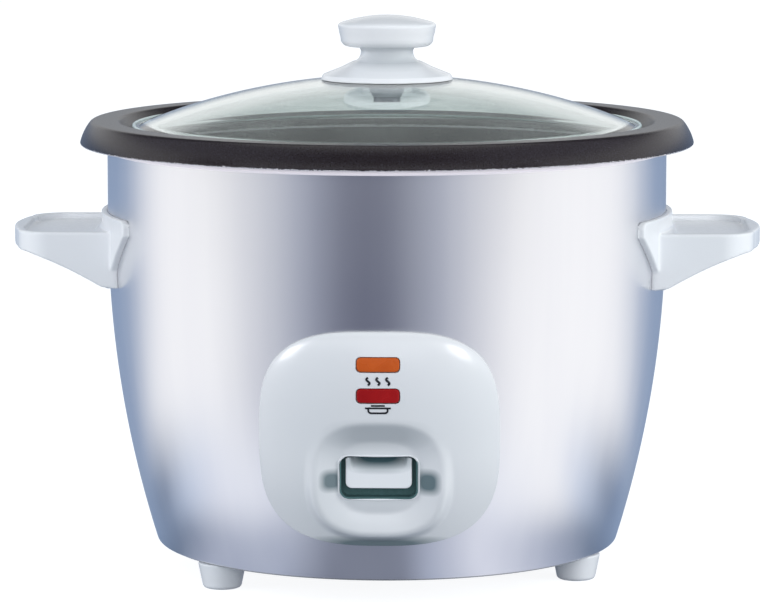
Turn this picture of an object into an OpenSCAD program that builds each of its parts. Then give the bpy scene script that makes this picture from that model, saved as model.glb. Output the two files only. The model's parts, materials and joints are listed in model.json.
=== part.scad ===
// Rice cooker with a lift-out pot, a glass lid and a one-lever cook switch.
// Millimetres. +Z is up, z = 0 is the table, the control panel faces -Y.
// The housing stands on three feet. The pot stands on the heating plate, and the
// lid lies in the pot's rim. Pressing the lever tips a rocker under the liner,
// which lifts a magnet against the ferrite in the sprung thermostat cup.

/* [Body] */
// Outer radius of the straight upper wall
body_r = 128.8; // [124:0.1:134]
// Height of the body from its bottom edge to the top of its lip
body_h = 183.7; // [176:0.1:192]
// Height over which the wall curves in towards the bottom
taper_h = 146.8; // [120:0.1:155]
// Radius of that curve, seen from the side
taper_r = 490; // [460:1:560]
// Radius of the bottom corner
corner_r = 3.4; // [2:0.1:5]
// Thickness of the sheet metal of the body
shell_t = 0.8; // [0.6:0.1:1.2]
// How far the rolled lip stands out from the wall
lip_out = 0.8; // [0.4:0.1:1.4]
// Height of the rolled lip
lip_h = 2; // [1.4:0.1:3]
// Width of the flange that is turned in at the bottom
base_flange_w = 19; // [17:0.5:24]

/* [Feet and base] */
// Height of the feet, which is the height of the body above the table
foot_h = 12.7; // [11:0.1:18]
// Radius of a foot at its top
foot_r = 11; // [9:0.1:12]
// Radius of a foot at the table
foot_tip_r = 9; // [7.5:0.1:9.5]
// Distance of the feet's middles inside the body's outer wall
foot_inset = 34.8; // [32:0.1:37]
// How far the ring of feet is turned from symmetry about the panel, in degrees
foot_turn = 9; // [0:0.5:15]
// Thickness of the base plate
base_t = 0.8; // [0.6:0.1:1.5]
// Number of vent slots in the base plate
vent_count = 18; // [10:1:24]
// Width of a vent slot
vent_w = 4; // [3:0.5:5]

/* [Liner and heating plate] */
// Clearance between the pot and the liner
pot_room = 4.4; // [3:0.1:6]
// Thickness of the liner's sheet
liner_t = 0.6; // [0.5:0.1:1]
// Height over which the liner narrows towards its floor
liner_taper_h = 36; // [30:0.5:42]
// Lean of that narrowing part from the vertical, in degrees
liner_lean = 28; // [24:0.5:32]
// Height of the liner's floor above the bottom of the body
liner_floor_h = 36.3; // [34:0.1:40]
// Height of the heating plate's top above the liner's floor
plate_rise = 23; // [21.5:0.1:27]
// Distance of the heating plate's edge inside the pot's wall
plate_inset = 24.6; // [20:0.1:30]
// Thickness of the heating plate's disc
plate_t = 5; // [4:0.1:7]
// Distance of the heater's ring inside the heating plate's edge
heater_inset = 26; // [20:0.5:32]
// Radius of the heater's tube
heater_tube_r = 3.6; // [3:0.1:4.2]
// Radius of the hole for the thermostat in the heating plate
plate_hole_r = 19.5; // [19:0.1:22]
// Distance of the heating plate's legs inside its edge
leg_inset = 8; // [6:0.5:12]

/* [Pot] */
// Distance of the pot's inner wall inside the body's outer wall
pot_inset = 18.2; // [17.6:0.1:20]
// Thickness of the pot's wall
pot_t = 1.6; // [1.2:0.1:2]
// Inner radius of the pot's bottom corner
pot_corner_r = 20; // [12:0.5:26]
// Height of the rim's flat top above the body's lip
rim_h = 12; // [11:0.1:14]
// Depth of the ledge that carries the lid, below the rim's flat top
ledge_depth = 7.1; // [6:0.1:8]
// Width of the rim's flat top and shoulder, from the lid's well to the skirt
rim_top_w = 9.6; // [8:0.1:12]
// Lean of the well's wall from the vertical, in degrees
well_lean = 33; // [20:1:38]
// Lean of the skirt from the vertical, in degrees
skirt_lean = 29; // [20:1:34]
// Height of the skirt's lower edge above the body's lip
skirt_gap = 0.4; // [0.3:0.1:1]

/* [Lid] */
// Width of the ledge under the lid's edge
lid_bearing_w = 6.9; // [6:0.1:8]
// Thickness of the glass
glass_t = 4; // [3:0.1:5]
// Rise of the dome above the glass's edge
dome_rise = 22.7; // [16:0.1:30]
// Radius of the knob's head
knob_r = 21.9; // [18:0.1:25]
// Radius of the knob's neck
knob_neck_r = 12; // [9:0.1:13]
// Radius of the knob's foot, which covers the hole in the glass
knob_foot_r = 30.4; // [26:0.1:34]
// Height of the knob above the glass
knob_h = 28.2; // [24:0.1:32]
// Radius of the steam vent
vent_r = 2.5; // [1.5:0.1:3.5]
// Distance of the steam vent from the middle of the lid
vent_offset = 52; // [44:0.5:70]

/* [Handles] */
// Width of a handle, from front to back
handle_w = 86; // [76:0.5:96]
// Reach of a handle beyond the body's wall
handle_reach = 43.2; // [36:0.1:50]
// Height of the handles' top face above the bottom of the body
handle_z = 147.3; // [140:0.1:152]
// Thickness of a handle at its tip
handle_tip_t = 8.5; // [7:0.1:11]
// Depth of a handle where it meets the body
handle_root_t = 25; // [20:0.1:28]
// Wall thickness of a handle
handle_wall = 2.4; // [2:0.1:3]
// Depth of the finger rest in a handle's top
rest_depth = 2.6; // [1.5:0.1:4]
// Width of the backing plate, from front to back
backing_w = 120; // [108:0.5:124]
// Thickness of the backing plate
backing_t = 2.9; // [2:0.1:3.6]

/* [Control panel] */
// Half width of the panel
panel_half_w = 53; // [47:0.1:56]
// Half height of the panel
panel_half_h = 48.7; // [44:0.1:50]
// Height of the panel's middle above the bottom of the body
panel_mid_h = 65.3; // [64:0.1:70]
// How far the panel's face stands out from the body
panel_proud = 7; // [5.5:0.1:9]
// How much further the lower rim of its dish stands out
panel_chin = 4.5; // [0:0.1:6]
// Thickness of the panel's edge
panel_edge = 1.2; // [0.8:0.1:2]
// Wall thickness of the panel
panel_wall = 2.4; // [2:0.1:3]
// Half width of the dish round the lever
dish_half_w = 27.2; // [24:0.1:30]
// Half height of the dish
dish_half_h = 24.9; // [23:0.1:27]
// Depth of the dish
dish_depth = 6.5; // [4:0.1:8]
// Height of the dish's middle above the bottom of the body
dish_mid_h = 48.6; // [48:0.1:52]
// Width of the lever's window
window_w = 34.4; // [32:0.1:36]
// Height of the lever's window
window_h = 19.2; // [18.6:0.1:21]
// Width of a lamp's lens
lens_w = 18.9; // [15:0.1:22]
// Height of a lamp's lens
lens_h = 6.4; // [5:0.1:8]
// Height of the warm lamp above the bottom of the body
warm_lens_h = 100.1; // [98:0.1:102]
// Distance from the cook lamp up to the warm lamp
lens_pitch = 13.7; // [12:0.1:15]

/* [Lever and thermostat] */
// Width of the lever's finger tab
tab_w = 29; // [24:0.1:30]
// Height of the lever's finger tab
tab_h = 13.2; // [11:0.1:13.4]
// Inset of the rocker's pivot from the circle of the plate's screws
pivot_inset = 12; // [8:0.5:16]
// How far the rocker turns when the lever is pressed, in degrees
press_angle = 3.8; // [2:0.1:4]
// Radius of the rocker's pivot pin
pin_r = 1.5; // [1.2:0.1:2]
// Radius of the thermostat's cup
cup_r = 18; // [16:0.1:18.8]
// Radius of the magnet
magnet_r = 11; // [9:0.1:11.6]
// Radius of the magnet's rod
rod_r = 2.5; // [2:0.1:3]

/* [Power inlet] */
// Width of the inlet's socket
socket_w = 25; // [22:0.5:27]
// Height of the inlet's socket
socket_h = 17; // [15:0.5:18]
// Depth of the inlet's socket
socket_d = 16; // [14:0.5:18]
// Height of the inlet's middle above the bottom of the body
inlet_h = 25; // [22:0.5:26]

/* [Hidden] */
$fn = 96;

seat = 0.1;        // gap between faces that rest on each other
slip = 0.3;        // gap round a piece that is dropped into its seat
run = 0.06;        // radial clearance of a pin in its bore
thread = 0.02;     // radial clearance of a screw in its hole
sink = 0.01;       // overlap that fuses two shapes of one piece
wall_steps = 28;   // cones that follow the curved wall
arc_steps = 8;     // chords in a small rounded corner

// heights above the table
base_z = foot_h;
lip_z = base_z + body_h;
curve_z = base_z + taper_h;
floor_z = base_z + liner_floor_h;
plate_z = floor_z + plate_rise;
rim_z = lip_z + rim_h;
ledge_z = rim_z - ledge_depth;
pot_z = plate_z + seat;

// radii of the nested walls, from the outside in
pot_r = body_r - pot_inset;
liner_r = pot_r + pot_t + pot_room;
lid_r = pot_r + lid_bearing_w;
plate_r = pot_r - plate_inset;
heater_r = plate_r - heater_inset;
leg_circle_r = plate_r - leg_inset;
pivot_y = leg_circle_r - pivot_inset;
foot_circle_r = body_r - foot_inset;

// cuts through the body's wall run between these distances from its axis
cut_far = body_r + 20;
cut_near = 0.6 * body_r;

function arc(cx, cz, r, a0, a1, n = arc_steps) =
    [for (i = [0:n]) let (a = a0 + (a1 - a0) * i / n) [cx + r * cos(a), cz + r * sin(a)]];
function reversed(list) = [for (i = [len(list) - 1:-1:0]) list[i]];
function wall_lean(z) = z < curve_z ? asin((curve_z - z) / taper_r) : 0;
function wall_r(z) = body_r - taper_r * (1 - cos(wall_lean(z)));

module rounded_rect(w, h, r) {
    square([w - 2 * r, h], center = true);
    square([w, h - 2 * r], center = true);
    for (sx = [-1, 1], sy = [-1, 1])
        translate([sx * (w / 2 - r), sy * (h / 2 - r)]) circle(r, $fn = 48);
}

// a flat outline in X and Z, made a bar that runs from depth y0 to y1
module bar_y(y0, y1) {
    translate([0, y1, 0]) rotate([90, 0, 0]) linear_extrude(y1 - y0) children();
}

// a flat outline in Y and Z, made a bar that runs from x0 to x1
module bar_x(x0, x1) {
    translate([x0, 0, 0]) rotate([90, 0, 90]) linear_extrude(x1 - x0) children();
}

module around(count, r, turn = 0) {
    for (i = [0:count - 1]) rotate(turn + 360 * i / count) translate([r, 0, 0]) children();
}

// ---------- body ----------

corner_lean = asin((taper_h - 0.7 * corner_r) / taper_r);
corner_top_z = base_z + corner_r * (1 - sin(corner_lean));
corner_x = wall_r(corner_top_z) - corner_r * cos(corner_lean);
base_in_r = corner_x - base_flange_w;
lip_in_r = liner_r + 1.5;

// the wall's section, moved inwards by d
function wall_curve(d, top) = concat(
    [[base_in_r, base_z + d]],
    arc(corner_x, base_z + corner_r, corner_r - d, -90, -corner_lean),
    [for (i = [1:wall_steps])
        let (z = corner_top_z + (curve_z - corner_top_z) * i / wall_steps, a = wall_lean(z))
        [wall_r(z) - d * cos(a), z + d * sin(a)]],
    [[body_r - d, top]]);

module wall_solid() {
    rotate_extrude($fn = 180) polygon(concat([[0, base_z]], wall_curve(0, lip_z), [[0, lip_z]]));
}

module lip_profile() {
    bulge = body_r + lip_out;
    polygon(concat(
        wall_curve(0, lip_z - lip_h),
        [[bulge, lip_z - 0.75 * lip_h], [bulge, lip_z - 0.25 * lip_h], [body_r, lip_z],
            [lip_in_r, lip_z], [lip_in_r, lip_z - shell_t]],
        reversed(wall_curve(shell_t, lip_z - shell_t))));
}

cook_lens_h = warm_lens_h - lens_pitch;
panel_z = base_z + panel_mid_h;
dish_z = base_z + dish_mid_h;
window_corner_r = 4;
opening_w = window_w + 30;
opening_low = dish_z - 24;
opening_high = base_z + warm_lens_h + 8;
opening_corner_r = 6;
inlet_z = base_z + inlet_h;
inlet_wall = 2.7;
inlet_hole_w = socket_w + 2 * inlet_wall;
inlet_hole_h = socket_h + 2 * inlet_wall;
inlet_screw_x = inlet_hole_w / 2 + 5;
inlet_screw_r = 1.6;
handle_screw_y = 24;
handle_screw_z = base_z + handle_z - handle_root_t / 2;
handle_screw_r = 1.9;
panel_screw_x = opening_w / 2 + 5;
panel_screw_z = [opening_low + 12, opening_high - 12];
panel_screw_r = 1.5;
foot_screw_r = 1.7;
hole_room = 0.4;       // radial clearance of a screw in the sheet that it passes through

module outer_body() {
    color([0.74, 0.77, 0.83]) difference() {
        rotate_extrude($fn = 180) lip_profile();
        translate([0, 0, (opening_low + opening_high) / 2])
            bar_y(-cut_far, -cut_near) rounded_rect(opening_w, opening_high - opening_low, opening_corner_r);
        for (sx = [-1, 1], z = panel_screw_z)
            translate([sx * panel_screw_x, 0, z]) bar_y(-cut_far, -cut_near)
                circle(panel_screw_r + hole_room, $fn = 32);
        translate([0, 0, inlet_z]) bar_y(cut_near, cut_far)
            rounded_rect(inlet_hole_w + 2 * slip, inlet_hole_h + 2 * slip, inlet_wall + slip);
        for (sx = [-1, 1])
            translate([sx * inlet_screw_x, 0, inlet_z]) bar_y(cut_near, cut_far)
                circle(inlet_screw_r, $fn = 32);
        for (sx = [-1, 1], sy = [-1, 1]) translate([0, sy * handle_screw_y, handle_screw_z])
            bar_x(min(sx * cut_near, sx * cut_far), max(sx * cut_near, sx * cut_far))
                circle(handle_screw_r + hole_room, $fn = 32);
        around(3, foot_circle_r, 90 + foot_turn) translate([0, 0, base_z - 1])
            cylinder(r = foot_screw_r + hole_room - 0.3, h = shell_t + 2, $fn = 32);
    }
}

// ---------- liner ----------

liner_hole_r = plate_hole_r + 4;
liner_corner_r = 6;
leg_screw_r = 1.7;
leg_turn = 30;
rivet_r = 1.45;
rivet_room = 0.05;
insulator_r = 5.6;

// the liner's section, moved outwards by d: floor, corner, narrowing part and straight wall
function liner_curve(d) =
    let (low = floor_z + liner_t + liner_corner_r * (1 - sin(liner_lean)),
        cx = liner_r - (liner_taper_h - liner_corner_r * (1 - sin(liner_lean))) * tan(liner_lean)
            - liner_corner_r * cos(liner_lean),
        corner = arc(cx, floor_z + liner_t + liner_corner_r, liner_corner_r + d, -90, -liner_lean),
        end = corner[arc_steps])
    concat([[liner_hole_r, floor_z + liner_t - d]], corner,
        [[liner_r + d, end[1] + (liner_r + d - end[0]) / tan(liner_lean)]]);

module inner_liner() {
    flange_z = lip_z - shell_t - seat;
    flange_r = body_r - shell_t - slip;
    color([0.72, 0.72, 0.71]) difference() {
        rotate_extrude($fn = 180) polygon(concat(
            liner_curve(liner_t),
            [[liner_r + liner_t, flange_z - liner_t], [flange_r, flange_z - liner_t],
                [flange_r, flange_z], [liner_r, flange_z]],
            reversed(liner_curve(0))));
        around(3, leg_circle_r, leg_turn) translate([0, 0, floor_z - 1])
            cylinder(r = leg_screw_r + hole_room, h = liner_t + 2, $fn = 32);
        around(2, bracket_rivet_r) translate([0, 0, floor_z - 1])
            cylinder(r = rivet_r + rivet_room, h = liner_t + 2, $fn = 32);
        for (a = heater_end_angles) rotate(a) translate([heater_r, 0, floor_z - 1])
            cylinder(r = insulator_r + hole_room, h = liner_t + 2, $fn = 40);
        for (sy = [-1, 1]) translate([0, -pivot_y + sy * lever_rivet_dy, floor_z - 1])
            cylinder(r = rivet_r + rivet_room, h = liner_t + 2, $fn = 32);
    }
}

// ---------- base plate and feet ----------

base_r = corner_x - 1;
vent_rows = [[0.5, 24, 0], [0.77, 12, 0.5]];   // each row's place, length and turn, as shares and millimetres
vent_turn = 5;

module base_plate() {
    color([0.62, 0.62, 0.62]) difference() {
        translate([0, 0, base_z - base_t]) cylinder(r = base_r, h = base_t, $fn = 120);
        for (row = vent_rows) around(vent_count, row[0] * base_r, vent_turn + row[2] * 360 / vent_count)
            translate([-row[1] / 2, -vent_w / 2, base_z - base_t - 1]) cube([row[1], vent_w, base_t + 2]);
        around(3, foot_circle_r, 90 + foot_turn) translate([0, 0, base_z - base_t - 1])
            cylinder(r = foot_screw_r + hole_room + 0.1, h = base_t + 2, $fn = 32);
    }
}

foot_screw_l = 8;
foot_edge_r = 2;

module foot(index) {
    top = base_z - base_t;
    at = 90 + foot_turn + 120 * index;
    color([0.93, 0.93, 0.94]) rotate(at) translate([foot_circle_r, 0, 0]) difference() {
        rotate_extrude($fn = 64) polygon(concat(
            [[0, 0]], arc(foot_tip_r - foot_edge_r, foot_edge_r, foot_edge_r, -90, 0),
            [[foot_r, top], [0, top]]));
        translate([0, 0, top - foot_screw_l]) cylinder(r = foot_screw_r, h = foot_screw_l + 1, $fn = 32);
    }
}

module foot_left() { foot(1); }
module foot_right() { foot(2); }
module foot_rear() { foot(0); }

// a screw whose shank starts at the origin and runs down, with its head above
module screw(r, l, head_r, head_h) {
    cross_l = 1.3 * head_r;
    cross_w = 0.8;
    translate([0, 0, -l]) cylinder(r = r, h = l + sink, $fn = 32);
    difference() {
        cylinder(r = head_r, h = head_h, $fn = 40);
        for (a = [0, 90]) rotate(a) translate([-cross_l / 2, -cross_w / 2, head_h - cross_w])
            cube([cross_l, cross_w, 1]);
    }
}

pan_head_r = 3.4;
pan_head_h = 2;

module foot_screws() {
    color([0.55, 0.56, 0.57]) around(3, foot_circle_r, 90 + foot_turn)
        translate([0, 0, base_z + shell_t])
            screw(foot_screw_r - thread, foot_screw_l + shell_t + base_t - 0.5, pan_head_r, pan_head_h);
}

// ---------- heating plate ----------

boss_r = heater_tube_r + 3;
plate_edge = 1.5;
leg_screw_l = 10;
heater_z = plate_z - plate_t - heater_tube_r;
heater_end_angles = [-66, -114];
leg_r = 5;

module heating_plate() {
    color([0.78, 0.78, 0.77]) difference() {
        union() {
            rotate_extrude($fn = 120) polygon([
                [plate_hole_r, plate_z - plate_t], [plate_r, plate_z - plate_t],
                [plate_r, plate_z - plate_edge],
                [plate_r - plate_edge, plate_z], [plate_hole_r, plate_z]]);
            rotate_extrude($fn = 120) translate([heater_r - boss_r, heater_z - 1])
                square([2 * boss_r, plate_z - plate_t - heater_z + 1 + sink]);
            around(3, leg_circle_r, leg_turn) translate([0, 0, floor_z + liner_t])
                cylinder(r = leg_r, h = plate_z - plate_t - floor_z, $fn = 40);
        }
        rotate_extrude($fn = 120) translate([heater_r, heater_z]) circle(heater_tube_r + run, $fn = 40);
        rotate_extrude($fn = 120) translate([heater_r - heater_tube_r - run, heater_z - 3])
            square([2 * (heater_tube_r + run), 3]);
        around(3, leg_circle_r, leg_turn) translate([0, 0, floor_z])
            cylinder(r = leg_screw_r, h = leg_screw_l + 2, $fn = 32);
    }
}

heater_end_z = floor_z - 6;
heater_leg_r = heater_tube_r - 0.5;
heater_overrun = 5;   // how far the ring runs on past its legs, in degrees
blade_w = 5;
blade_t = 0.8;
blade_l = 10;

module heater_element() {
    start = heater_end_angles[0] - heater_overrun;
    sweep = 360 - (heater_end_angles[0] - heater_end_angles[1]) + 2 * heater_overrun;
    color([0.45, 0.45, 0.46]) {
        rotate(start) rotate_extrude(angle = sweep, $fn = 120)
            translate([heater_r, heater_z]) circle(heater_tube_r, $fn = 40);
        for (a = heater_end_angles) rotate(a) translate([heater_r, 0, 0]) {
            translate([0, 0, heater_end_z]) cylinder(r = heater_leg_r, h = heater_z - heater_end_z, $fn = 40);
            translate([-blade_t / 2, -blade_w / 2, heater_end_z - blade_l])
                cube([blade_t, blade_w, blade_l + sink]);
        }
    }
}

// ceramic bushes that carry the heater's ends through the liner's floor
module heater_insulators() {
    collar_h = 3;
    color([0.92, 0.90, 0.86]) for (a = heater_end_angles)
        rotate(a) translate([heater_r, 0, floor_z - collar_h])
        difference() {
            union() {
                cylinder(r = insulator_r, h = 2 * collar_h, $fn = 40);
                cylinder(r = insulator_r + 1.9, h = collar_h, $fn = 40);
            }
            translate([0, 0, -1]) cylinder(r = heater_leg_r + run, h = 2 * collar_h + 2, $fn = 40);
        }
}

module plate_screws() {
    color([0.55, 0.56, 0.57]) around(3, leg_circle_r, leg_turn) translate([0, 0, floor_z]) rotate([180, 0, 0])
        screw(leg_screw_r - thread, leg_screw_l, pan_head_r, pan_head_h);
}

// ---------- thermostat ----------

cup_t = 1;
cup_top_z = plate_z - seat;
cup_h = 9;
ferrite_r = 12;
ferrite_h = 6;
ferrite_z = cup_top_z - cup_t - ferrite_h;
magnet_h = 5;
magnet_lift = pivot_y * press_angle * PI / 180;
magnet_z = ferrite_z - seat - magnet_lift - magnet_h;
bracket_t = 1.5;
bracket_z = floor_z - bracket_t;
bracket_r = liner_hole_r + 9;
bracket_rivet_r = liner_hole_r + 5;
guide_h = 3;
arm_z = floor_z - 10.5;
arm_t = 1.6;
rod_end_z = arm_z - 6;
tenon_r = 0.7 * rod_r;   // the rod's thinner end, inside the magnet
rivet_head_h = 1.2;

// disc under the liner's floor, with a guide for the magnet's rod
module thermostat_bracket() {
    color([0.66, 0.67, 0.68]) {
        difference() {
            union() {
                translate([0, 0, bracket_z]) cylinder(r = bracket_r, h = bracket_t, $fn = 80);
                translate([0, 0, bracket_z]) cylinder(r = rod_r + 2, h = bracket_t + guide_h, $fn = 40);
            }
            translate([0, 0, bracket_z - 1]) cylinder(r = rod_r + run, h = bracket_t + guide_h + 2, $fn = 40);
            around(4, bracket_r - 13, 45) translate([0, 0, bracket_z - 1])
                cylinder(r = 4, h = bracket_t + 2, $fn = 32);
        }
        around(2, bracket_rivet_r) translate([0, 0, bracket_z - rivet_head_h]) {
            cylinder(r = rivet_r, h = rivet_head_h + bracket_t + liner_t + rivet_head_h, $fn = 32);
            cylinder(r = 2 * rivet_r, h = rivet_head_h + sink, $fn = 32);
        }
    }
}

module thermostat_cup() {
    color([0.80, 0.80, 0.79]) difference() {
        translate([0, 0, cup_top_z - cup_h]) cylinder(r = cup_r, h = cup_h, $fn = 64);
        translate([0, 0, cup_top_z - cup_h - 1]) cylinder(r = cup_r - cup_t, h = cup_h - cup_t + 1, $fn = 64);
    }
}

module thermostat_ferrite() {
    color([0.25, 0.25, 0.26]) translate([0, 0, ferrite_z]) cylinder(r = ferrite_r, h = ferrite_h, $fn = 64);
}

// a round wire along a path that never runs straight at the body's axis
module wire(path, r, sides = 8) {
    last = len(path) - 1;
    function unit(v) = v / norm(v);
    function across(i) = let (t = unit(path[min(i + 1, last)] - path[max(i - 1, 0)]),
        out = unit([path[i][0], path[i][1], 0]), a = unit(out - (out * t) * t)) [a, cross(t, a)];
    points = [for (i = [0:last], j = [0:sides - 1]) let (f = across(i), c = 360 * j / sides)
        path[i] + r * cos(c) * f[0] + r * sin(c) * f[1]];
    faces = concat(
        [[for (j = [0:sides - 1]) j]],
        [for (i = [0:last - 1], j = [0:sides - 1], h = [0, 1])
            let (k = (j + 1) % sides, p = i * sides + j, q = i * sides + k)
                h == 0 ? [p, p + sides, q + sides] : [p, q + sides, q]],
        [[for (j = [sides - 1:-1:0]) last * sides + j]]);
    polyhedron(points, faces);
}

module coil(r, wire_r, z0, z1, turns) {
    rings = turns * 16;
    rise = (z1 - z0 - 2 * wire_r) / rings;
    wire([for (i = [0:rings]) let (a = 360 * i / 16)
        [r * cos(a), r * sin(a), z0 + wire_r + rise * i]], wire_r);
}

spring_wire_r = 0.7;
cup_spring_r = (ferrite_r + cup_r - cup_t) / 2;

module thermostat_spring() {
    color([0.70, 0.71, 0.72]) coil(cup_spring_r, spring_wire_r, floor_z + seat, cup_top_z - cup_t - seat, 5);
}

module magnet() {
    color([0.35, 0.35, 0.37]) difference() {
        translate([0, 0, magnet_z]) cylinder(r = magnet_r, h = magnet_h, $fn = 64);
        translate([0, 0, magnet_z - 1]) cylinder(r = tenon_r + run, h = magnet_h + 2, $fn = 40);
    }
}

module magnet_rod() {
    color([0.74, 0.70, 0.50]) {
        translate([0, 0, rod_end_z]) cylinder(r = rod_r, h = magnet_z - rod_end_z, $fn = 40);
        translate([0, 0, magnet_z - sink]) cylinder(r = tenon_r, h = magnet_h - 0.5, $fn = 40);
    }
}

clip_t = 1.2;
clip_gap = 0.6;

// two collars on the rod, above and below the rocker's fork
module rod_clip() {
    color([0.55, 0.56, 0.57]) for (z = [arm_z - clip_gap - clip_t, arm_z + arm_t + clip_gap])
        translate([0, 0, z]) difference() {
            cylinder(r = rod_r + 2.6, h = clip_t, $fn = 40);
            translate([0, 0, -1]) cylinder(r = rod_r + 0.01, h = clip_t + 2, $fn = 40);
        }
}

// ---------- face of the control panel ----------

function power(x, n) = pow(abs(x), n);
function reach(x, z, half_w, half_h, n) = pow(power(x / half_w, n) + power(z / half_h, n), 1 / n);
function smooth(t) = let (c = max(0, min(1, t))) c * c * (3 - 2 * c);
panel_shape = 3.1;   // exponent of the panel's rounded square
dish_shape = 2.8;    // exponent of the dish's rounded square
dish_floor = 0.62;   // size of the dish's flat floor against its edge
chin_end = 1.24;     // size of the swelling round the dish against its edge

// distance of the panel's face from the axis of the body
function face_r(x, z) =
    let (s = min(1, reach(x, z - panel_z, panel_half_w, panel_half_h, panel_shape)),
        fall = smooth((panel_z - 8 - z) / 38),
        pillow = pow(1 - pow(s, 3.2 - fall), 0.55 + 0.35 * fall),
        d = reach(x, z - dish_z, dish_half_w, dish_half_h, dish_shape),
        low = smooth((panel_z + 2 - z) / 40),
        rim = smooth((chin_end - d) / (chin_end - 1)) * sqrt(1 - pow(s, 8)),
        dish = dish_depth * smooth((1 - d) / (1 - dish_floor)))
    wall_r(z) + panel_edge + pillow * panel_proud + panel_chin * low * rim - dish;

// ---------- lever ----------

pivot_z = arm_z + 1;
arm_w = 12;
arm_out_y = wall_r(dish_z) - 9;
ear_x = arm_w / 2 + 1;
ear_t = 1.5;
lever_rivet_dy = 5;
tab_z = dish_z + (window_h - tab_h) / 2 - 0.6;
tab_t = 9;
stem_z = tab_z - 1;
stem_half_w = arm_w / 2 + 2;
strip_l = 5;      // length of the rocker's strip inside the lever's stem
spring_y = pivot_y + 28;
switch_y = pivot_y + 14;
lever_spring_r = 3.6;
lever_wire_r = 0.5;

module lever_bracket() {
    color([0.66, 0.67, 0.68]) difference() {
        union() {
            translate([-ear_x - ear_t, -pivot_y - 8, floor_z - ear_t]) cube([2 * (ear_x + ear_t), 16, ear_t]);
            for (x = [-ear_x - ear_t, ear_x])
                translate([x, -pivot_y - 8, pivot_z - 4]) cube([ear_t, 16, floor_z - pivot_z + 4 - sink]);
            for (sy = [-1, 1]) translate([0, -pivot_y + sy * lever_rivet_dy, floor_z - sink])
                cylinder(r = rivet_r, h = liner_t + rivet_head_h, $fn = 32);
        }
        translate([0, -pivot_y, pivot_z]) rotate([0, 90, 0])
            cylinder(r = pin_r, h = 4 * ear_x, center = true, $fn = 40);
    }
}

module pivot_pin() {
    half = ear_x + ear_t + 1;
    color([0.60, 0.61, 0.62]) {
        translate([0, -pivot_y, pivot_z]) rotate([0, 90, 0])
            cylinder(r = pin_r - thread, h = 2 * half, center = true, $fn = 40);
        for (s = [-1, 1]) translate([s * (half - 0.2), -pivot_y, pivot_z]) rotate([0, 90, 0])
            cylinder(r = pin_r + 1, h = 0.8, center = true, $fn = 40);
    }
}

// strip of the rocker in Y and Z: a fork by the rod, the hub, and a riser behind the panel
module rocker_arm() {
    fork_y = rod_r + 5;
    color([0.70, 0.71, 0.72]) difference() {
        union() {
            bar_x(-arm_w / 2, arm_w / 2) polygon([
                [fork_y, arm_z], [fork_y, arm_z + arm_t],
                [-arm_out_y + arm_t, arm_z + arm_t], [-arm_out_y + arm_t, stem_z + arm_t],
                [-arm_out_y - strip_l, stem_z + arm_t], [-arm_out_y - strip_l, stem_z],
                [-arm_out_y, stem_z], [-arm_out_y, arm_z]]);
            translate([0, -pivot_y, pivot_z]) rotate([0, 90, 0])
                cylinder(r = pin_r + 1.8, h = arm_w, center = true, $fn = 40);
        }
        translate([0, -pivot_y, pivot_z]) rotate([0, 90, 0])
            cylinder(r = pin_r - thread + run, h = arm_w + 2, center = true, $fn = 40);
        translate([-rod_r - 0.6, -rod_r - 0.6, arm_z - 1])
            cube([2 * rod_r + 1.2, fork_y + rod_r + 2, arm_t + 2]);
    }
}

tab_face_y = face_r(0, tab_z) + 0.8;

module cook_lever() {
    front = -tab_face_y;
    back = -arm_out_y - 1;
    half = tab_w / 2;
    low = tab_z - tab_h / 2;
    high = tab_z + tab_h / 2;
    rim_w = 2.4;       // sides of the tab beside the scoop
    color([0.95, 0.95, 0.97]) difference() {
        union() {
            bar_x(-half, half) polygon(concat(
                [[front + tab_t, low], [front + tab_t, high], [front + 1, high]],
                arc(front + 1, high - 1, 1, 90, 180, 4),
                arc(front + 1, low + 1, 1, 180, 270, 4)));
            translate([-stem_half_w, front + tab_t - 1, stem_z - 2])
                cube([2 * stem_half_w, back - front - tab_t + 1, arm_t + 4]);
        }
        // scoop for the fingertip
        bar_x(-half + rim_w, half - rim_w) polygon([
            [front - 1, high + 1], [front - 1, high - 5.5], [front + 2.2, high - 4.4],
            [front + 4.4, high - 2.8], [front + 4.4, high + 1]]);
        translate([-(arm_w + slip) / 2, -arm_out_y - strip_l - slip, stem_z - slip / 2])
            cube([arm_w + slip, strip_l, arm_t + slip]);
    }
}

well_t = 0.6;          // wall of the dark tray round the lever
well_slip = 0.15;      // gap between the tray and the window's edge
well_back_y = arm_out_y + 3.6;

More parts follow.
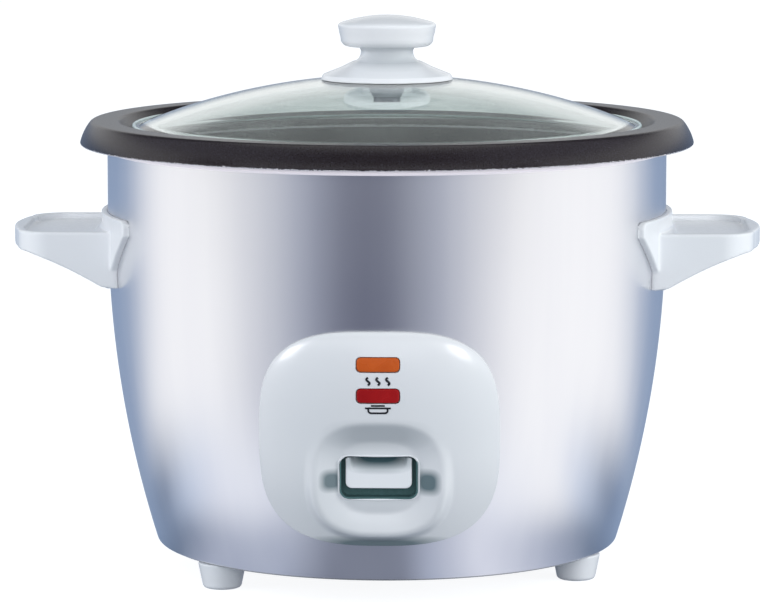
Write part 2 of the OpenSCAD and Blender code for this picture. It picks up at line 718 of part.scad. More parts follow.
// open tray behind the window, with a slot for the lever's stem and two snap ears
module lever_well() {
    half_w = window_w / 2 - well_slip;
    low = dish_z - window_h / 2 + well_slip;
    high = dish_z + window_h / 2 - well_slip;
    ear_x = half_w + 1.2;
    ear_y = sqrt(pow(face_r(ear_x, dish_z) - panel_wall, 2) - pow(ear_x, 2)) - 0.7;
    color([0.10, 0.20, 0.21]) {
        difference() {
            intersection() {
                translate([0, 0, dish_z]) bar_y(-cut_far, -well_back_y)
                    rounded_rect(2 * half_w, 2 * (high - dish_z), window_corner_r - well_slip);
                bar_x(-half_w - 1, half_w + 1) polygon([
                    [-well_back_y + 1, low - 1], [-face_r(0, low), low], [-face_r(0, high), high],
                    [-well_back_y + 1, high + 1]]);
            }
            translate([0, 0, dish_z]) bar_y(-cut_far, -well_back_y - well_t)
                rounded_rect(2 * (half_w - well_t), 2 * (high - dish_z - well_t),
                    window_corner_r - well_slip - well_t);
            // open top over the finger tab
            translate([well_t - half_w, -cut_far, high - window_corner_r])
                cube([2 * (half_w - well_t), cut_far - well_back_y - well_t, window_corner_r + 1]);
            // slot for the stem, tall enough for its travel
            translate([-stem_half_w - 2 * slip, -well_back_y - 3, stem_z - 5.8])
                cube([2 * stem_half_w + 4 * slip, 6, 10]);
        }
        for (s = [-1, 1]) translate([s * ear_x - 1.6, -ear_y, dish_z - 5]) cube([3.2, 1, 10]);
    }
}

module lever_spring() {
    color([0.70, 0.71, 0.72]) translate([0, -spring_y, 0])
        coil(lever_spring_r, lever_wire_r, base_z + shell_t + seat, arm_z - seat, 6);
}

// ---------- switch, fuse and keep-warm thermostat ----------

switch_top_z = arm_z - 3.4;
switch_h = 12;
switch_l = 22;
lug_t = 1.4;
plunger_r = 1.6;
plunger_in = 3;        // depth of the plunger inside its housing
terminal_l = 7;

// the switch hangs from the lever's bracket by two lugs outside its ears
module switch_housing() {
    lug_x = ear_x + ear_t + seat;
    color([0.16, 0.16, 0.17]) difference() {
        union() {
            translate([-lug_x, -switch_y - 8, switch_top_z - switch_h]) cube([2 * lug_x, switch_l, switch_h]);
            for (x = [-lug_x - lug_t, lug_x])
                translate([x, -pivot_y - 8, switch_top_z - switch_h]) cube([lug_t, 5, switch_h + 8]);
        }
        translate([0, -switch_y, switch_top_z - plunger_in - 2])
            cylinder(r = plunger_r + run, h = plunger_in + 3, $fn = 32);
    }
}

module switch_plunger() {
    color([0.85, 0.20, 0.16]) translate([0, -switch_y, switch_top_z - plunger_in])
        cylinder(r = plunger_r, h = arm_z - 0.25 - switch_top_z + plunger_in, $fn = 32);
}

module switch_terminals() {
    color([0.78, 0.66, 0.36]) for (y = [-4, 3, 10])
        translate([-blade_w / 2, -switch_y + y - blade_t / 2, switch_top_z - switch_h - terminal_l])
            cube([blade_w, blade_t, terminal_l]);
}

warm_a = 200;
warm_body_r = 8;
warm_body_h = 7;
fuse_a = 160;
fuse_r = 3;
fuse_l = 22;

// both are pressed against the underside of the heating plate
module keep_warm_thermostat() {
    top = plate_z - plate_t - seat;
    color([0.55, 0.50, 0.42]) rotate(warm_a) translate([heater_r - boss_r - warm_body_r - 4, 0, 0]) {
        translate([0, 0, top - warm_body_h]) cylinder(r = warm_body_r, h = warm_body_h, $fn = 48);
        for (s = [-1, 1]) translate([-blade_w / 2, s * warm_body_r / 2 - blade_t / 2, top - warm_body_h - 6])
            cube([blade_w, blade_t, 6 + sink]);
    }
}

module thermal_fuse() {
    color([0.82, 0.80, 0.72]) rotate(fuse_a)
        translate([heater_r - boss_r - fuse_r - 5, 0, plate_z - plate_t - fuse_r - seat]) rotate([90, 0, 0]) {
            cylinder(r = fuse_r, h = fuse_l, center = true, $fn = 32);
            cylinder(r = fuse_r / 5, h = fuse_l + 12, center = true, $fn = 16);
        }
}

// ---------- control panel ----------

module panel_shell() {
    rings = 15;
    sides = 56;
    lands = rings + 1;   // the last ring of the front skin drops from the face's edge to the body
    function at(k, j) = let (a = 360 * j / sides, c = cos(a), s = sin(a), n = 2 / panel_shape)
        [k * panel_half_w * sign(c) * power(c, n), panel_z + k * panel_half_h * sign(s) * power(s, n)];
    function on_radius(p, r) = [p[0], -sqrt(r * r - p[0] * p[0]), p[1]];
    function body_gap(p) = wall_r(p[1]) + slip;
    front = concat([on_radius([0, panel_z], face_r(0, panel_z))],
        [for (i = [1:rings], j = [0:sides - 1]) let (p = at(i / rings, j)) on_radius(p, face_r(p[0], p[1]))],
        [for (j = [0:sides - 1]) let (p = at(1, j)) on_radius(p, body_gap(p))]);
    back = concat([on_radius([0, panel_z], face_r(0, panel_z) - panel_wall)],
        [for (i = [1:rings], j = [0:sides - 1]) let (p = at(i / rings * (1 - panel_wall / panel_half_w), j))
            on_radius(p, i == rings ? body_gap(p) : max(body_gap(p), face_r(p[0], p[1]) - panel_wall))]);
    count = 1 + lands * sides;
    function fan(base, flip) = [for (j = [0:sides - 1]) let (a = base + 1 + j, b = base + 1 + (j + 1) % sides)
        flip ? [base, b, a] : [base, a, b]];
    function band(base, last, flip) = [for (i = [0:last - 2], j = [0:sides - 1], h = [0, 1])
        let (a = base + 1 + i * sides + j, b = base + 1 + i * sides + (j + 1) % sides,
            c = a + sides, d = b + sides)
            h == 0 ? (flip ? [a, b, c] : [a, c, b]) : (flip ? [b, d, c] : [b, c, d])];
    edge = [for (j = [0:sides - 1], h = [0, 1])
        let (k = (j + 1) % sides, a = 1 + rings * sides + j, b = 1 + rings * sides + k,
            c = count + 1 + (rings - 1) * sides + j, d = count + 1 + (rings - 1) * sides + k)
            h == 0 ? [a, b, c] : [b, d, c]];
    polyhedron(concat(front, back),
        concat(fan(0, true), band(0, lands, true), fan(count, false), band(count, rings, false), edge));
}

lens_corner_r = 1.8;

// outline of a lamp's lens, run through the panel
module lens_cut(z) {
    translate([0, 0, z]) bar_y(-cut_far, -cut_near) rounded_rect(lens_w, lens_h, lens_corner_r);
}

// where a panel screw's head meets the inside of the body, as a distance from the middle
function panel_seat_y(z) = sqrt(pow(wall_r(z - 3) - shell_t, 2) - pow(panel_screw_x + 3, 2)) - seat;
panel_boss_r = 3.2;
panel_screw_l = 5.4;

module panel_boss(sx, z) {
    start = sqrt(pow(wall_r(z + panel_boss_r), 2) - pow(panel_screw_x - panel_boss_r, 2)) + seat;
    end = sqrt(pow(face_r(panel_screw_x, z) - panel_wall / 2, 2) - pow(panel_screw_x, 2));
    translate([sx * panel_screw_x, 0, z]) bar_y(-end, -start) circle(panel_boss_r, $fn = 32);
}

module control_panel() {
    color([0.90, 0.92, 0.94]) difference() {
        union() {
            panel_shell();
            for (sx = [-1, 1], z = panel_screw_z) panel_boss(sx, z);
        }
        for (sx = [-1, 1], z = panel_screw_z)
            translate([sx * panel_screw_x, -panel_seat_y(z) - panel_screw_l - 0.3, z]) rotate([-90, 0, 0])
                cylinder(r = panel_screw_r, h = 4 * panel_screw_l, $fn = 32);
        translate([0, 0, dish_z]) bar_y(-cut_far, -cut_near)
            rounded_rect(window_w, window_h, window_corner_r);
        for (h = [warm_lens_h, cook_lens_h]) lens_cut(base_z + h);
    }
}

lens_t = 5;
holder_front_y = face_r(0, base_z + cook_lens_h) + 0.2 - lens_t - seat;
holder_t = 6;
holder_half_w = 15;
holder_back_t = 1;
lamp_r = 2.2;
lamp_l = 14;

module lens(h) {
    z = base_z + h;
    difference() {
        translate([0, 0, z]) bar_y(-face_r(0, z) - 0.2, -holder_front_y - seat)
            rounded_rect(lens_w - slip, lens_h - slip, lens_corner_r - slip / 2);
        translate([0, 0, z]) bar_y(-face_r(0, z) + 1.3, -holder_front_y + 1)
            rounded_rect(lens_w - 3.5, lens_h - 3.5, 1);
    }
}

module warm_lens() { color([0.85, 0.42, 0.13]) lens(warm_lens_h); }
module cook_lens() { color([0.70, 0.07, 0.07]) lens(cook_lens_h); }

// block behind the lenses, held against the panel's inner face by two cheeks
module lamp_holder() {
    over = lens_h + 0.3;   // how far the block reaches past each lamp's middle
    low = base_z + cook_lens_h - over;
    high = base_z + warm_lens_h + over;
    cheek_y = sqrt(pow(min(face_r(holder_half_w, low), face_r(holder_half_w, high)) - panel_wall, 2)
        - pow(holder_half_w, 2)) - seat;
    color([0.88, 0.88, 0.86]) difference() {
        union() {
            translate([-holder_half_w, -holder_front_y, low]) cube([2 * holder_half_w, holder_t, high - low]);
            for (sx = [-1, 1]) translate([sx * (holder_half_w - 1) - 1, -cheek_y, low])
                cube([2, cheek_y - holder_front_y + 1, high - low]);
        }
        for (h = [warm_lens_h, cook_lens_h])
            translate([0, 0, base_z + h])
                bar_y(-holder_front_y - 1, -holder_front_y + holder_t - holder_back_t)
                    rounded_rect(lens_w - 2, 2 * lamp_r + 1.6, 2);
    }
}

module neon_lamps() {
    lamp_y = holder_front_y - holder_t + holder_back_t + seat + lamp_r;
    color([0.95, 0.85, 0.80]) for (h = [warm_lens_h, cook_lens_h])
        translate([0, -lamp_y, base_z + h]) rotate([0, 90, 0])
            cylinder(r = lamp_r, h = lamp_l, center = true, $fn = 32);
}

module panel_screws() {
    color([0.55, 0.56, 0.57]) for (sx = [-1, 1], z = panel_screw_z)
        translate([sx * panel_screw_x, -panel_seat_y(z), z]) rotate([-90, 0, 0])
            screw(panel_screw_r - thread, panel_screw_l, 2 * panel_screw_r, 1.8);
}

// ---------- power inlet ----------

inlet_face_y = wall_r(inlet_z + inlet_hole_h / 2) + 3.5;
inlet_floor_t = 4;
inlet_back_y = inlet_face_y - socket_d - inlet_floor_t;
inlet_screw_l = 12;
inlet_head_r = 3;
pin_w = 4;
pin_h = 2;
pin_out = 8;           // length of a pin behind the socket
pin_room = 0.02;
inlet_pin_places = [[-7, -1.5], [7, -1.5], [0, 3]];

module inlet_socket() {
    flange_w = 2 * (inlet_screw_x + inlet_head_r + 1);
    flange_h = inlet_hole_h + 4;
    color([0.12, 0.12, 0.13]) difference() {
        union() {
            difference() {
                translate([0, 0, inlet_z]) bar_y(cut_near, inlet_face_y) rounded_rect(flange_w, flange_h, 4);
                wall_solid();
            }
            translate([0, 0, inlet_z]) bar_y(inlet_back_y, inlet_face_y - 0.5)
                rounded_rect(inlet_hole_w, inlet_hole_h, inlet_wall);
        }
        translate([0, 0, inlet_z]) bar_y(inlet_face_y - socket_d, cut_far)
            rounded_rect(socket_w, socket_h, 2);
        for (p = inlet_pin_places) translate([p[0], 0, inlet_z + p[1]])
            bar_y(cut_near, inlet_face_y) square([pin_w + 2 * pin_room, pin_h + 2 * pin_room], center = true);
        for (sx = [-1, 1]) translate([sx * inlet_screw_x, 0, inlet_z])
            bar_y(cut_near, cut_far) circle(inlet_screw_r, $fn = 32);
    }
}

module inlet_pins() {
    color([0.80, 0.78, 0.70]) for (p = inlet_pin_places) translate([p[0], 0, inlet_z + p[1]])
        bar_y(inlet_back_y - pin_out, inlet_face_y - 3) square([pin_w, pin_h], center = true);
}

module inlet_screws() {
    color([0.60, 0.61, 0.62]) for (sx = [-1, 1]) translate([sx * inlet_screw_x, inlet_face_y, inlet_z])
        rotate([-90, 0, 0]) screw(inlet_screw_r - thread, inlet_screw_l, inlet_head_r, 1.6);
}

// ---------- handles ----------

handle_top_z = base_z + handle_z;
handle_end = body_r + handle_reach;
handle_blank = 30;     // how far the blank runs inside the wall before it is cut back to it
handle_bow = 4;        // how far the tip bows out between its corners
handle_corner_r = 15;
handle_tall = 40;      // height of the blank

// plan of a handle, to the right of the axis, shrunk by d
module handle_plan(d) {
    half = handle_w / 2 - d;
    flat = half - handle_corner_r;
    start = body_r - handle_blank;
    tip = handle_end - d - handle_bow;
    bow_r = (flat * flat + handle_bow * handle_bow) / (2 * handle_bow);
    translate([start, -half]) square([tip - handle_corner_r - start, 2 * half]);
    translate([start, -flat]) square([tip - start, 2 * flat]);
    for (s = [-1, 1]) translate([tip - handle_corner_r, s * flat]) circle(handle_corner_r, $fn = 64);
    intersection() {
        translate([tip + handle_bow - bow_r, 0]) circle(bow_r, $fn = 120);
        translate([tip - 1, -flat]) square([handle_bow + 2, 2 * flat]);
    }
}

// side of a handle, in X and Z: flat top, and an underside that sweeps up to the tip
module handle_side() {
    tip_low = handle_top_z - handle_tip_t;
    root_low = handle_top_z - handle_root_t;
    under_r = 4;
    sweep = handle_reach - under_r - 1;
    polygon(concat(
        [[body_r - handle_blank, root_low - under_r], [body_r - handle_blank, handle_top_z + 1],
            [handle_end + 1, handle_top_z + 1], [handle_end + 1, tip_low + 1]],
        arc(handle_end - under_r + 1, tip_low + under_r, under_r, -45, -100, 4),
        [for (i = [1:8]) let (t = i / 8)
            [handle_end - under_r - 1 - t * sweep, tip_low - (tip_low - root_low) * pow(t, 1.35)]]));
}

module backing_outline() {
    half = backing_w / 2;
    low = handle_top_z - handle_root_t - 2;
    high = handle_top_z + 7;
    slope = 28;        // how far each lower corner is cut in
    polygon(concat(
        arc(-half + 3, high - 3, 3, 180, 90, 4), arc(half - 3, high - 3, 3, 90, 0, 4),
        [[half, high - 7]],
        arc(half - slope, low + 5, 5, -25, -90, 4), arc(slope - half, low + 5, 5, -90, -155, 4),
        [[-half, high - 7]]));
}

// the space beyond the backing plate, where a handle is dished and hollow
module handle_outer() {
    translate([body_r + backing_t + 1, -handle_w, 0])
        cube([handle_reach - 10, 2 * handle_w, 2 * handle_top_z]);
}

module handle_solid() {
    boss_r = 4.5;
    difference() {
        union() {
            difference() {
                intersection() {
                    translate([0, 0, handle_top_z - handle_tall]) linear_extrude(handle_tall) handle_plan(0);
                    bar_y(-handle_w, handle_w) handle_side();
                }
                // finger rest in the top
                intersection() {
                    translate([0, 0, handle_top_z - rest_depth])
                        linear_extrude(rest_depth + 1) handle_plan(handle_wall + 1);
                    handle_outer();
                }
                // hollow underside
                intersection() {
                    translate([0, 0, handle_top_z - handle_tall - 20])
                        linear_extrude(handle_tall + 20 - rest_depth - handle_wall) handle_plan(handle_wall);
                    handle_outer();
                }
            }
            intersection() {
                cylinder(r = body_r + backing_t, h = 2 * handle_top_z, $fn = 180);
                bar_x(cut_near, cut_far) backing_outline();
            }
            for (s = [-1, 1]) translate([0, s * handle_screw_y, handle_screw_z])
                bar_x(body_r - 8, body_r + handle_screw_l + 4) circle(boss_r, $fn = 40);
        }
        cylinder(r = body_r + seat, h = 2 * handle_top_z, $fn = 180);
        for (s = [-1, 1]) translate([0, s * handle_screw_y, handle_screw_z])
            bar_x(cut_near, body_r + handle_screw_l + 1) circle(handle_screw_r, $fn = 32);
    }
}

handle_screw_l = 12;   // length of a handle's screw beyond the wall

module handle_right() { color([0.93, 0.94, 0.96]) handle_solid(); }
module handle_left() { color([0.93, 0.94, 0.96]) rotate(180) handle_solid(); }

module handle_screws() {
    head_r = 2 * handle_screw_r;
    inside = sqrt(pow(body_r - shell_t, 2) - pow(handle_screw_y + head_r, 2)) - 2 * seat;
    color([0.55, 0.56, 0.57]) for (turn = [0, 180], s = [-1, 1])
        rotate(turn) translate([inside, s * handle_screw_y, handle_screw_z]) rotate([0, -90, 0])
            screw(handle_screw_r - thread, body_r + handle_screw_l - inside, head_r, 2.2);
}

// ---------- pot ----------

edge_r = 2.6;      // radius of the ledge's and the well's rounded edges
well_r = 1.5;      // radius of the corner at the foot of the well
shoulder_r = 3.2;  // radius of the rim's shoulder
curl_r = 1.8;      // radius of the skirt's curled edge
skirt_z = lip_z + skirt_gap;
well_x = lid_r + 0.6;
well_low_z = ledge_z + well_r * (1 - sin(well_lean));
well_high_z = rim_z - edge_r * (1 - sin(well_lean));
well_high_r = well_x + well_r * cos(well_lean) + (well_high_z - well_low_z) * tan(well_lean);
well_edge_x = well_high_r + edge_r * cos(well_lean);
shoulder_x = well_edge_x + rim_top_w;
skirt_high_z = rim_z - shoulder_r * (1 - sin(skirt_lean));
skirt_low_z = skirt_z + curl_r * (1 + sin(skirt_lean));
skirt_low_r = shoulder_x + shoulder_r * cos(skirt_lean) + (skirt_high_z - skirt_low_z) * tan(skirt_lean);
curl_x = skirt_low_r - curl_r * cos(skirt_lean);

// the pot's section, moved down and outwards by d
function pot_curve(d) = concat(
    [[0, pot_z + pot_t - d]],
    arc(pot_r - pot_corner_r, pot_z + pot_t + pot_corner_r, pot_corner_r + d, -90, 0, 14),
    arc(pot_r + edge_r, ledge_z - edge_r, edge_r - d, 180, 90),
    arc(well_x, ledge_z + well_r, well_r + d, -90, -well_lean),
    arc(well_edge_x, rim_z - edge_r, edge_r - d, 180 - well_lean, 90),
    arc(shoulder_x, rim_z - shoulder_r, shoulder_r - d, 90, skirt_lean),
    arc(curl_x, skirt_z + curl_r, curl_r - d, skirt_lean, -80));

module inner_pot() {
    color([0.20, 0.19, 0.20]) rotate_extrude($fn = 180)
        polygon(concat(pot_curve(0), reversed(pot_curve(pot_t))));
}

// ---------- lid ----------

glass_edge = glass_t / 2;
dome_half = lid_r - glass_edge;
dome_r = (dome_half * dome_half + dome_rise * dome_rise) / (2 * dome_rise);
glass_low_z = ledge_z + seat;
apex_z = glass_low_z + glass_t + dome_rise;
lid_hole_r = 3.5;

function dome_z(r, d = 0) = apex_z - dome_r + sqrt(pow(dome_r - d, 2) - r * r);
function dome_line(r0, r1, d, n) = [for (i = [0:n]) let (r = r0 + (r1 - r0) * i / n) [r, dome_z(r, d)]];

module lid_glass() {
    inner_end = dome_half - 4;
    color([0.80, 0.88, 0.86, 0.45]) difference() {
        rotate_extrude($fn = 180) polygon(concat(
            dome_line(lid_hole_r, dome_half, 0, 24),
            arc(dome_half, glass_low_z + glass_edge, glass_edge, 80, -90),
            [[inner_end, glass_low_z]],
            reversed(dome_line(lid_hole_r, inner_end - 2.5, glass_t, 24))));
        at_vent() cylinder(r = vent_r + 0.5, h = 3 * glass_t, center = true, $fn = 40);
    }
}

// the middle of the glass at the vent, square to the dome
module at_vent() {
    translate([0, vent_offset, dome_z(vent_offset) - glass_t / 2])
        rotate([-asin(vent_offset / dome_r), 0, 0]) children();
}

// an eyelet rolled round the steam vent
module vent_eyelet() {
    color([0.80, 0.81, 0.82]) at_vent() difference() {
        union() {
            cylinder(r = vent_r + 0.3, h = glass_t + 1.2, center = true, $fn = 40);
            for (s = [-1, 1]) translate([0, 0, s * (glass_t / 2 + 0.45)])
                cylinder(r = vent_r + 1.8, h = 0.6, center = true, $fn = 40);
        }
        cylinder(r = vent_r - 0.3, h = glass_t + 4, center = true, $fn = 40);
    }
}

knob_z = apex_z;
knob_head_z = knob_z + knob_h - 14;

module lid_knob() {
    top_z = knob_z + knob_h;
    foot_z = dome_z(knob_foot_r) + seat;
    crown = 3.4;           // rise of the domed top
    side_r = knob_r - 1.1; // where the side turns in under the head
    neck_z = knob_z + 11.4;
    outline = concat(
        [[0, top_z]],
        [for (i = [1:8]) let (r = (knob_r - 1.4) * i / 8) [r, top_z - crown * pow(i / 8, 2)]],
        arc(knob_r - 1.5, top_z - crown - 1.6, 1.5, 80, -12, 6),
        [[knob_r - 0.5, top_z - 8], [side_r, top_z - 10.2]],
        arc(side_r - 3.5, knob_head_z + 3.2, 3.5, -15, -90, 5),
        [for (a = [0:15:90]) [knob_neck_r + 3 * (1 - sin(a)), neck_z + 2.6 * cos(a)]],
        [for (a = [0:15:90]) [knob_neck_r + 4 * (1 - cos(a)), neck_z - 4.6 * sin(a)]],
        [[(knob_neck_r + knob_foot_r) / 2, knob_z + 5.4], [knob_foot_r - 3.4, knob_z + 3.6],
            [knob_foot_r - 0.8, knob_z + 1.6], [knob_foot_r, knob_z + 0.4],
            [knob_foot_r, foot_z], [knob_foot_r - 2.4, foot_z + 0.25],
            [knob_foot_r - 3, knob_z + 1.4], [9, knob_z + 2.6], [8, knob_z + seat], [0, knob_z + seat]]);
    color([0.93, 0.94, 0.95]) difference() {
        rotate_extrude($fn = 96) polygon(outline);
        translate([0, 0, knob_z - 1]) cylinder(r = lid_screw_r, h = 15, $fn = 32);
    }
}

washer_r = 20.4;
washer_z = dome_z(washer_r, glass_t) - seat;
washer_t = 1.2;
collar_h = 4.4;
lid_screw_r = 2;

module lid_washer() {
    color([0.90, 0.92, 0.92]) difference() {
        translate([0, 0, washer_z - washer_t]) cylinder(r = washer_r, h = washer_t, $fn = 80);
        translate([0, 0, washer_z - washer_t - 1]) cylinder(r = lid_hole_r, h = washer_t + 2, $fn = 40);
    }
}

module lid_collar() {
    top = washer_z - washer_t;
    color([0.78, 0.79, 0.80]) rotate_extrude($fn = 64)
        polygon([[lid_screw_r + 0.1, top], [7.4, top], [7.4, top - 0.8],
            [3.4, top - collar_h], [lid_screw_r + 0.1, top - collar_h]]);
}

module lid_screw() {
    head_z = washer_z - washer_t - collar_h;
    color([0.62, 0.63, 0.65]) translate([0, 0, head_z]) rotate([180, 0, 0])
        screw(lid_screw_r - thread, apex_z + 12 - head_z, 6.2, 2.2);
}

// ---------- wiring ----------

lead_r = 1.2;

// a lead from one end of the heater, down to the base and round it, up to the inlet's pin
module lead() {
    start_a = heater_end_angles[0];
    pin = inlet_pin_places[1];
    end_y = inlet_back_y - pin_out - lead_r - seat;
    end_r = norm([pin[0], end_y]);
    end_a = atan2(end_y, pin[0]);
    run_z = base_z + shell_t + 4;
    tail_z = heater_end_z - blade_l - lead_r;
    wire(concat(
        [for (i = [0:3])
            [heater_r * cos(start_a), heater_r * sin(start_a), tail_z - i * (tail_z - run_z) / 5]],
        [for (i = [0:40]) let (t = i / 40, a = start_a + (end_a - start_a) * (0.03 + 0.97 * t),
            r = heater_r + (end_r - heater_r) * smooth(t * 1.6),
            z = run_z + (inlet_z + pin[1] - run_z) * smooth((t - 0.9) / 0.1))
            [r * cos(a), r * sin(a), z]]), lead_r);
}

module lead_wires() {
    color([0.75, 0.72, 0.66]) {
        lead();
        mirror([1, 0, 0]) lead();
    }
}

outer_body();
inner_liner();
base_plate();
foot_left();
foot_right();
foot_rear();
foot_screws();
heating_plate();
heater_element();
heater_insulators();
plate_screws();
thermostat_bracket();
thermostat_cup();
thermostat_ferrite();
thermostat_spring();
magnet();
magnet_rod();
rod_clip();
lever_bracket();
pivot_pin();
rocker_arm();
cook_lever();
lever_spring();
lever_well();
switch_housing();
switch_plunger();
switch_terminals();
keep_warm_thermostat();
thermal_fuse();
control_panel();
warm_lens();
cook_lens();
lamp_holder();
neon_lamps();
panel_screws();
inlet_socket();
inlet_pins();
inlet_screws();
handle_left();
handle_right();
handle_screws();
inner_pot();
lid_glass();
lid_knob();
lid_washer();
lid_collar();
lid_screw();
vent_eyelet();
lead_wires();
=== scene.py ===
import json
import math
import bpy
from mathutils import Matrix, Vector


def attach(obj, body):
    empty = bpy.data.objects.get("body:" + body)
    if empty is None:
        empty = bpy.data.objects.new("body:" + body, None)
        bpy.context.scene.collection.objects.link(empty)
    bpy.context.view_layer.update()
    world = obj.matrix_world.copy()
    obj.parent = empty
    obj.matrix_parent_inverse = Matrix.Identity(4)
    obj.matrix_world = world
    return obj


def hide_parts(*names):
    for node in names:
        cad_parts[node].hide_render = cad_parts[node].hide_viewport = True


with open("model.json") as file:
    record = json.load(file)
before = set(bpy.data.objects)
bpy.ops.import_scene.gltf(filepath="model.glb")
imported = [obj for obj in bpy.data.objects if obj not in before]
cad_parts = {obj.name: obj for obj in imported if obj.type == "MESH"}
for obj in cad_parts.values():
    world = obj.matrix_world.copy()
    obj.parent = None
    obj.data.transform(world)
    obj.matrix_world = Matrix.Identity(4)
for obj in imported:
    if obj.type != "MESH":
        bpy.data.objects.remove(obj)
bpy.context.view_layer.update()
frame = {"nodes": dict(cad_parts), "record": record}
nodes = frame["nodes"]
mm = 0.001  # sizes below are in millimetres, apart from the camera and the studio, in metres

# metres, degrees and pixels
view = {"distance": 1.96, "height": 0.3765, "pitch": 7.366, "turn": 1.7, "focal": 4261.0, "wide": 775.0}


def addCamera():
    lens = bpy.data.cameras.new("camera")
    camera = bpy.data.objects.new("camera", lens)
    bpy.context.collection.objects.link(camera)
    lens.sensor_width = 36.0
    lens.lens = 36.0 * view["focal"] / view["wide"]
    lens.shift_x = 0.5 / view["wide"]  # the axis stands half a pixel left of the middle
    lens.clip_start = 0.05
    lens.clip_end = 20.0
    turn = math.radians(view["turn"])
    camera.location = (view["distance"] * math.sin(turn), -view["distance"] * math.cos(turn), view["height"])
    camera.rotation_euler = (math.radians(90.0 - view["pitch"]), 0.0, turn)
    bpy.context.scene.camera = camera


addCamera()
print("camera placed")


class Wire:  # a socket that takes part in sums
    def __init__(self, finish, socket):
        self.finish = finish
        self.socket = socket

    def join(self, operation, first, second):
        return self.finish.node("ShaderNodeMath", {"operation": operation}, {0: first, 1: second})

    def __add__(self, other):
        return self.join("ADD", self, other)

    def __radd__(self, other):
        return self.join("ADD", other, self)

    def __sub__(self, other):
        return self.join("SUBTRACT", self, other)

    def __rsub__(self, other):
        return self.join("SUBTRACT", other, self)

    def __mul__(self, other):
        return self.join("MULTIPLY", self, other)

    def __rmul__(self, other):
        return self.join("MULTIPLY", other, self)

    def __pow__(self, other):
        return self.join("POWER", self, other)


class Finish:
    def __init__(self, name):
        self.material = bpy.data.materials.new(name)
        self.material.use_nodes = True
        self.tree = self.material.node_tree
        self.shader = self.tree.nodes["Principled BSDF"]

    def put(self, socket, value):
        if isinstance(value, Wire):
            self.tree.links.new(value.socket, socket)
        elif isinstance(value, (tuple, list)) and len(value) == 3 and len(socket.default_value) == 4:
            socket.default_value = (*value, 1.0)
        else:
            socket.default_value = value

    def node(self, kind, settings=None, inputs=None, result=0):
        made = self.tree.nodes.new(kind)
        for key, value in (settings or {}).items():
            if key == "stops":
                ramp = made.color_ramp
                for index, (place, shade) in enumerate(value):
                    stop = ramp.elements[index] if index < 2 else ramp.elements.new(place)
                    stop.position = place
                    stop.color = (*shade, 1.0)
            else:
                setattr(made, key, value)
        for key, value in (inputs or {}).items():
            self.put(made.inputs[key], value)
        return Wire(self, made.outputs[result])

    def place(self):
        return self.node("ShaderNodeTexCoord", result="Object")

    def axis(self, letter, point=None):
        return self.node("ShaderNodeSeparateXYZ", None, {0: point or self.place()}, letter)

    def noise(self, scale, detail=2.0, roughness=0.5, point=None):
        return self.node("ShaderNodeTexNoise", None,
                         {"Vector": point or self.place(), "Scale": scale, "Detail": detail,
                          "Roughness": roughness})

    def mix(self, factor, first, second):
        return self.node("ShaderNodeMix", {"data_type": "RGBA"}, {0: factor, 6: first, 7: second}, 2)

    def shift(self, value, low, high, toLow, toHigh):
        return self.node("ShaderNodeMapRange", {"clamp": True},
                         {0: value, 1: low, 2: high, 3: toLow, 4: toHigh})

    def stretch(self, point, scale):
        return self.node("ShaderNodeMapping", None, {"Vector": point, "Scale": scale})

    def size(self, value):
        return self.node("ShaderNodeMath", {"operation": "ABSOLUTE"}, {0: value})

    def wave(self, value):
        return self.node("ShaderNodeMath", {"operation": "SINE"}, {0: value})

    def smooth(self, value, low, high):
        return self.node("ShaderNodeMapRange", {"interpolation_type": "SMOOTHSTEP"},
                         {0: value, 1: low, 2: high})

    def bump(self, height, strength, distance):
        return self.node("ShaderNodeBump", None,
                         {"Height": height, "Strength": strength, "Distance": distance})

    def set(self, **values):
        names = {"color": "Base Color", "metal": "Metallic", "rough": "Roughness", "normal": "Normal",
                 "coat": "Coat Weight", "coatRough": "Coat Roughness", "ior": "IOR",
                 "clear": "Transmission Weight", "glow": "Emission Color",
                 "glowStrength": "Emission Strength", "specular": "Specular IOR Level"}
        for key, value in values.items():
            self.put(self.shader.inputs[names[key]], value)
        return self.material


def tinted(tone, share):
    return tuple(part * share for part in tone)


# the edge glow below is painted light: a faint glow on the rolled edge
silver = {"low": (0.84, 0.85, 0.88), "high": (0.88, 0.89, 0.91), "edge": (0.94, 0.91, 0.94),
          "edgePaintedGlow": (0.30, 0.27, 0.30), "edgeFrom": 194.5, "edgeTo": 194.8}


def silverLacquer():
    f = Finish("silverLacquer")
    point = f.place()
    streak = f.noise(60.0, 2.0, 0.5, f.stretch(point, (1.0, 1.0, 0.03)))
    flake = f.noise(2400.0, 1.0, 0.5, point)
    color = f.mix(f.shift(streak, 0.3, 0.7, 0.0, 1.0), silver["low"], silver["high"])
    # the rolled edge is satin and pale, not lacquered, and its faint glow is painted light that keeps it pale
    edge = f.shift(f.axis("Z", point), silver["edgeFrom"] * mm, silver["edgeTo"] * mm, 0.0, 1.0)
    return f.set(color=f.mix(edge, color, silver["edge"]), metal=1.0 - edge,
                 rough=f.shift(streak, 0.3, 0.7, 0.30, 0.33), normal=f.bump(flake, 0.015, 0.0001), coat=0.12,
                 coatRough=0.08, glow=f.mix(edge, (0.0, 0.0, 0.0), silver["edgePaintedGlow"]), glowStrength=1.0)


# shade is the colour that patches of painted shade mix towards
white = {"low": (0.84, 0.87, 0.90), "high": (0.87, 0.89, 0.92), "shade": (0.07, 0.13, 0.15)}


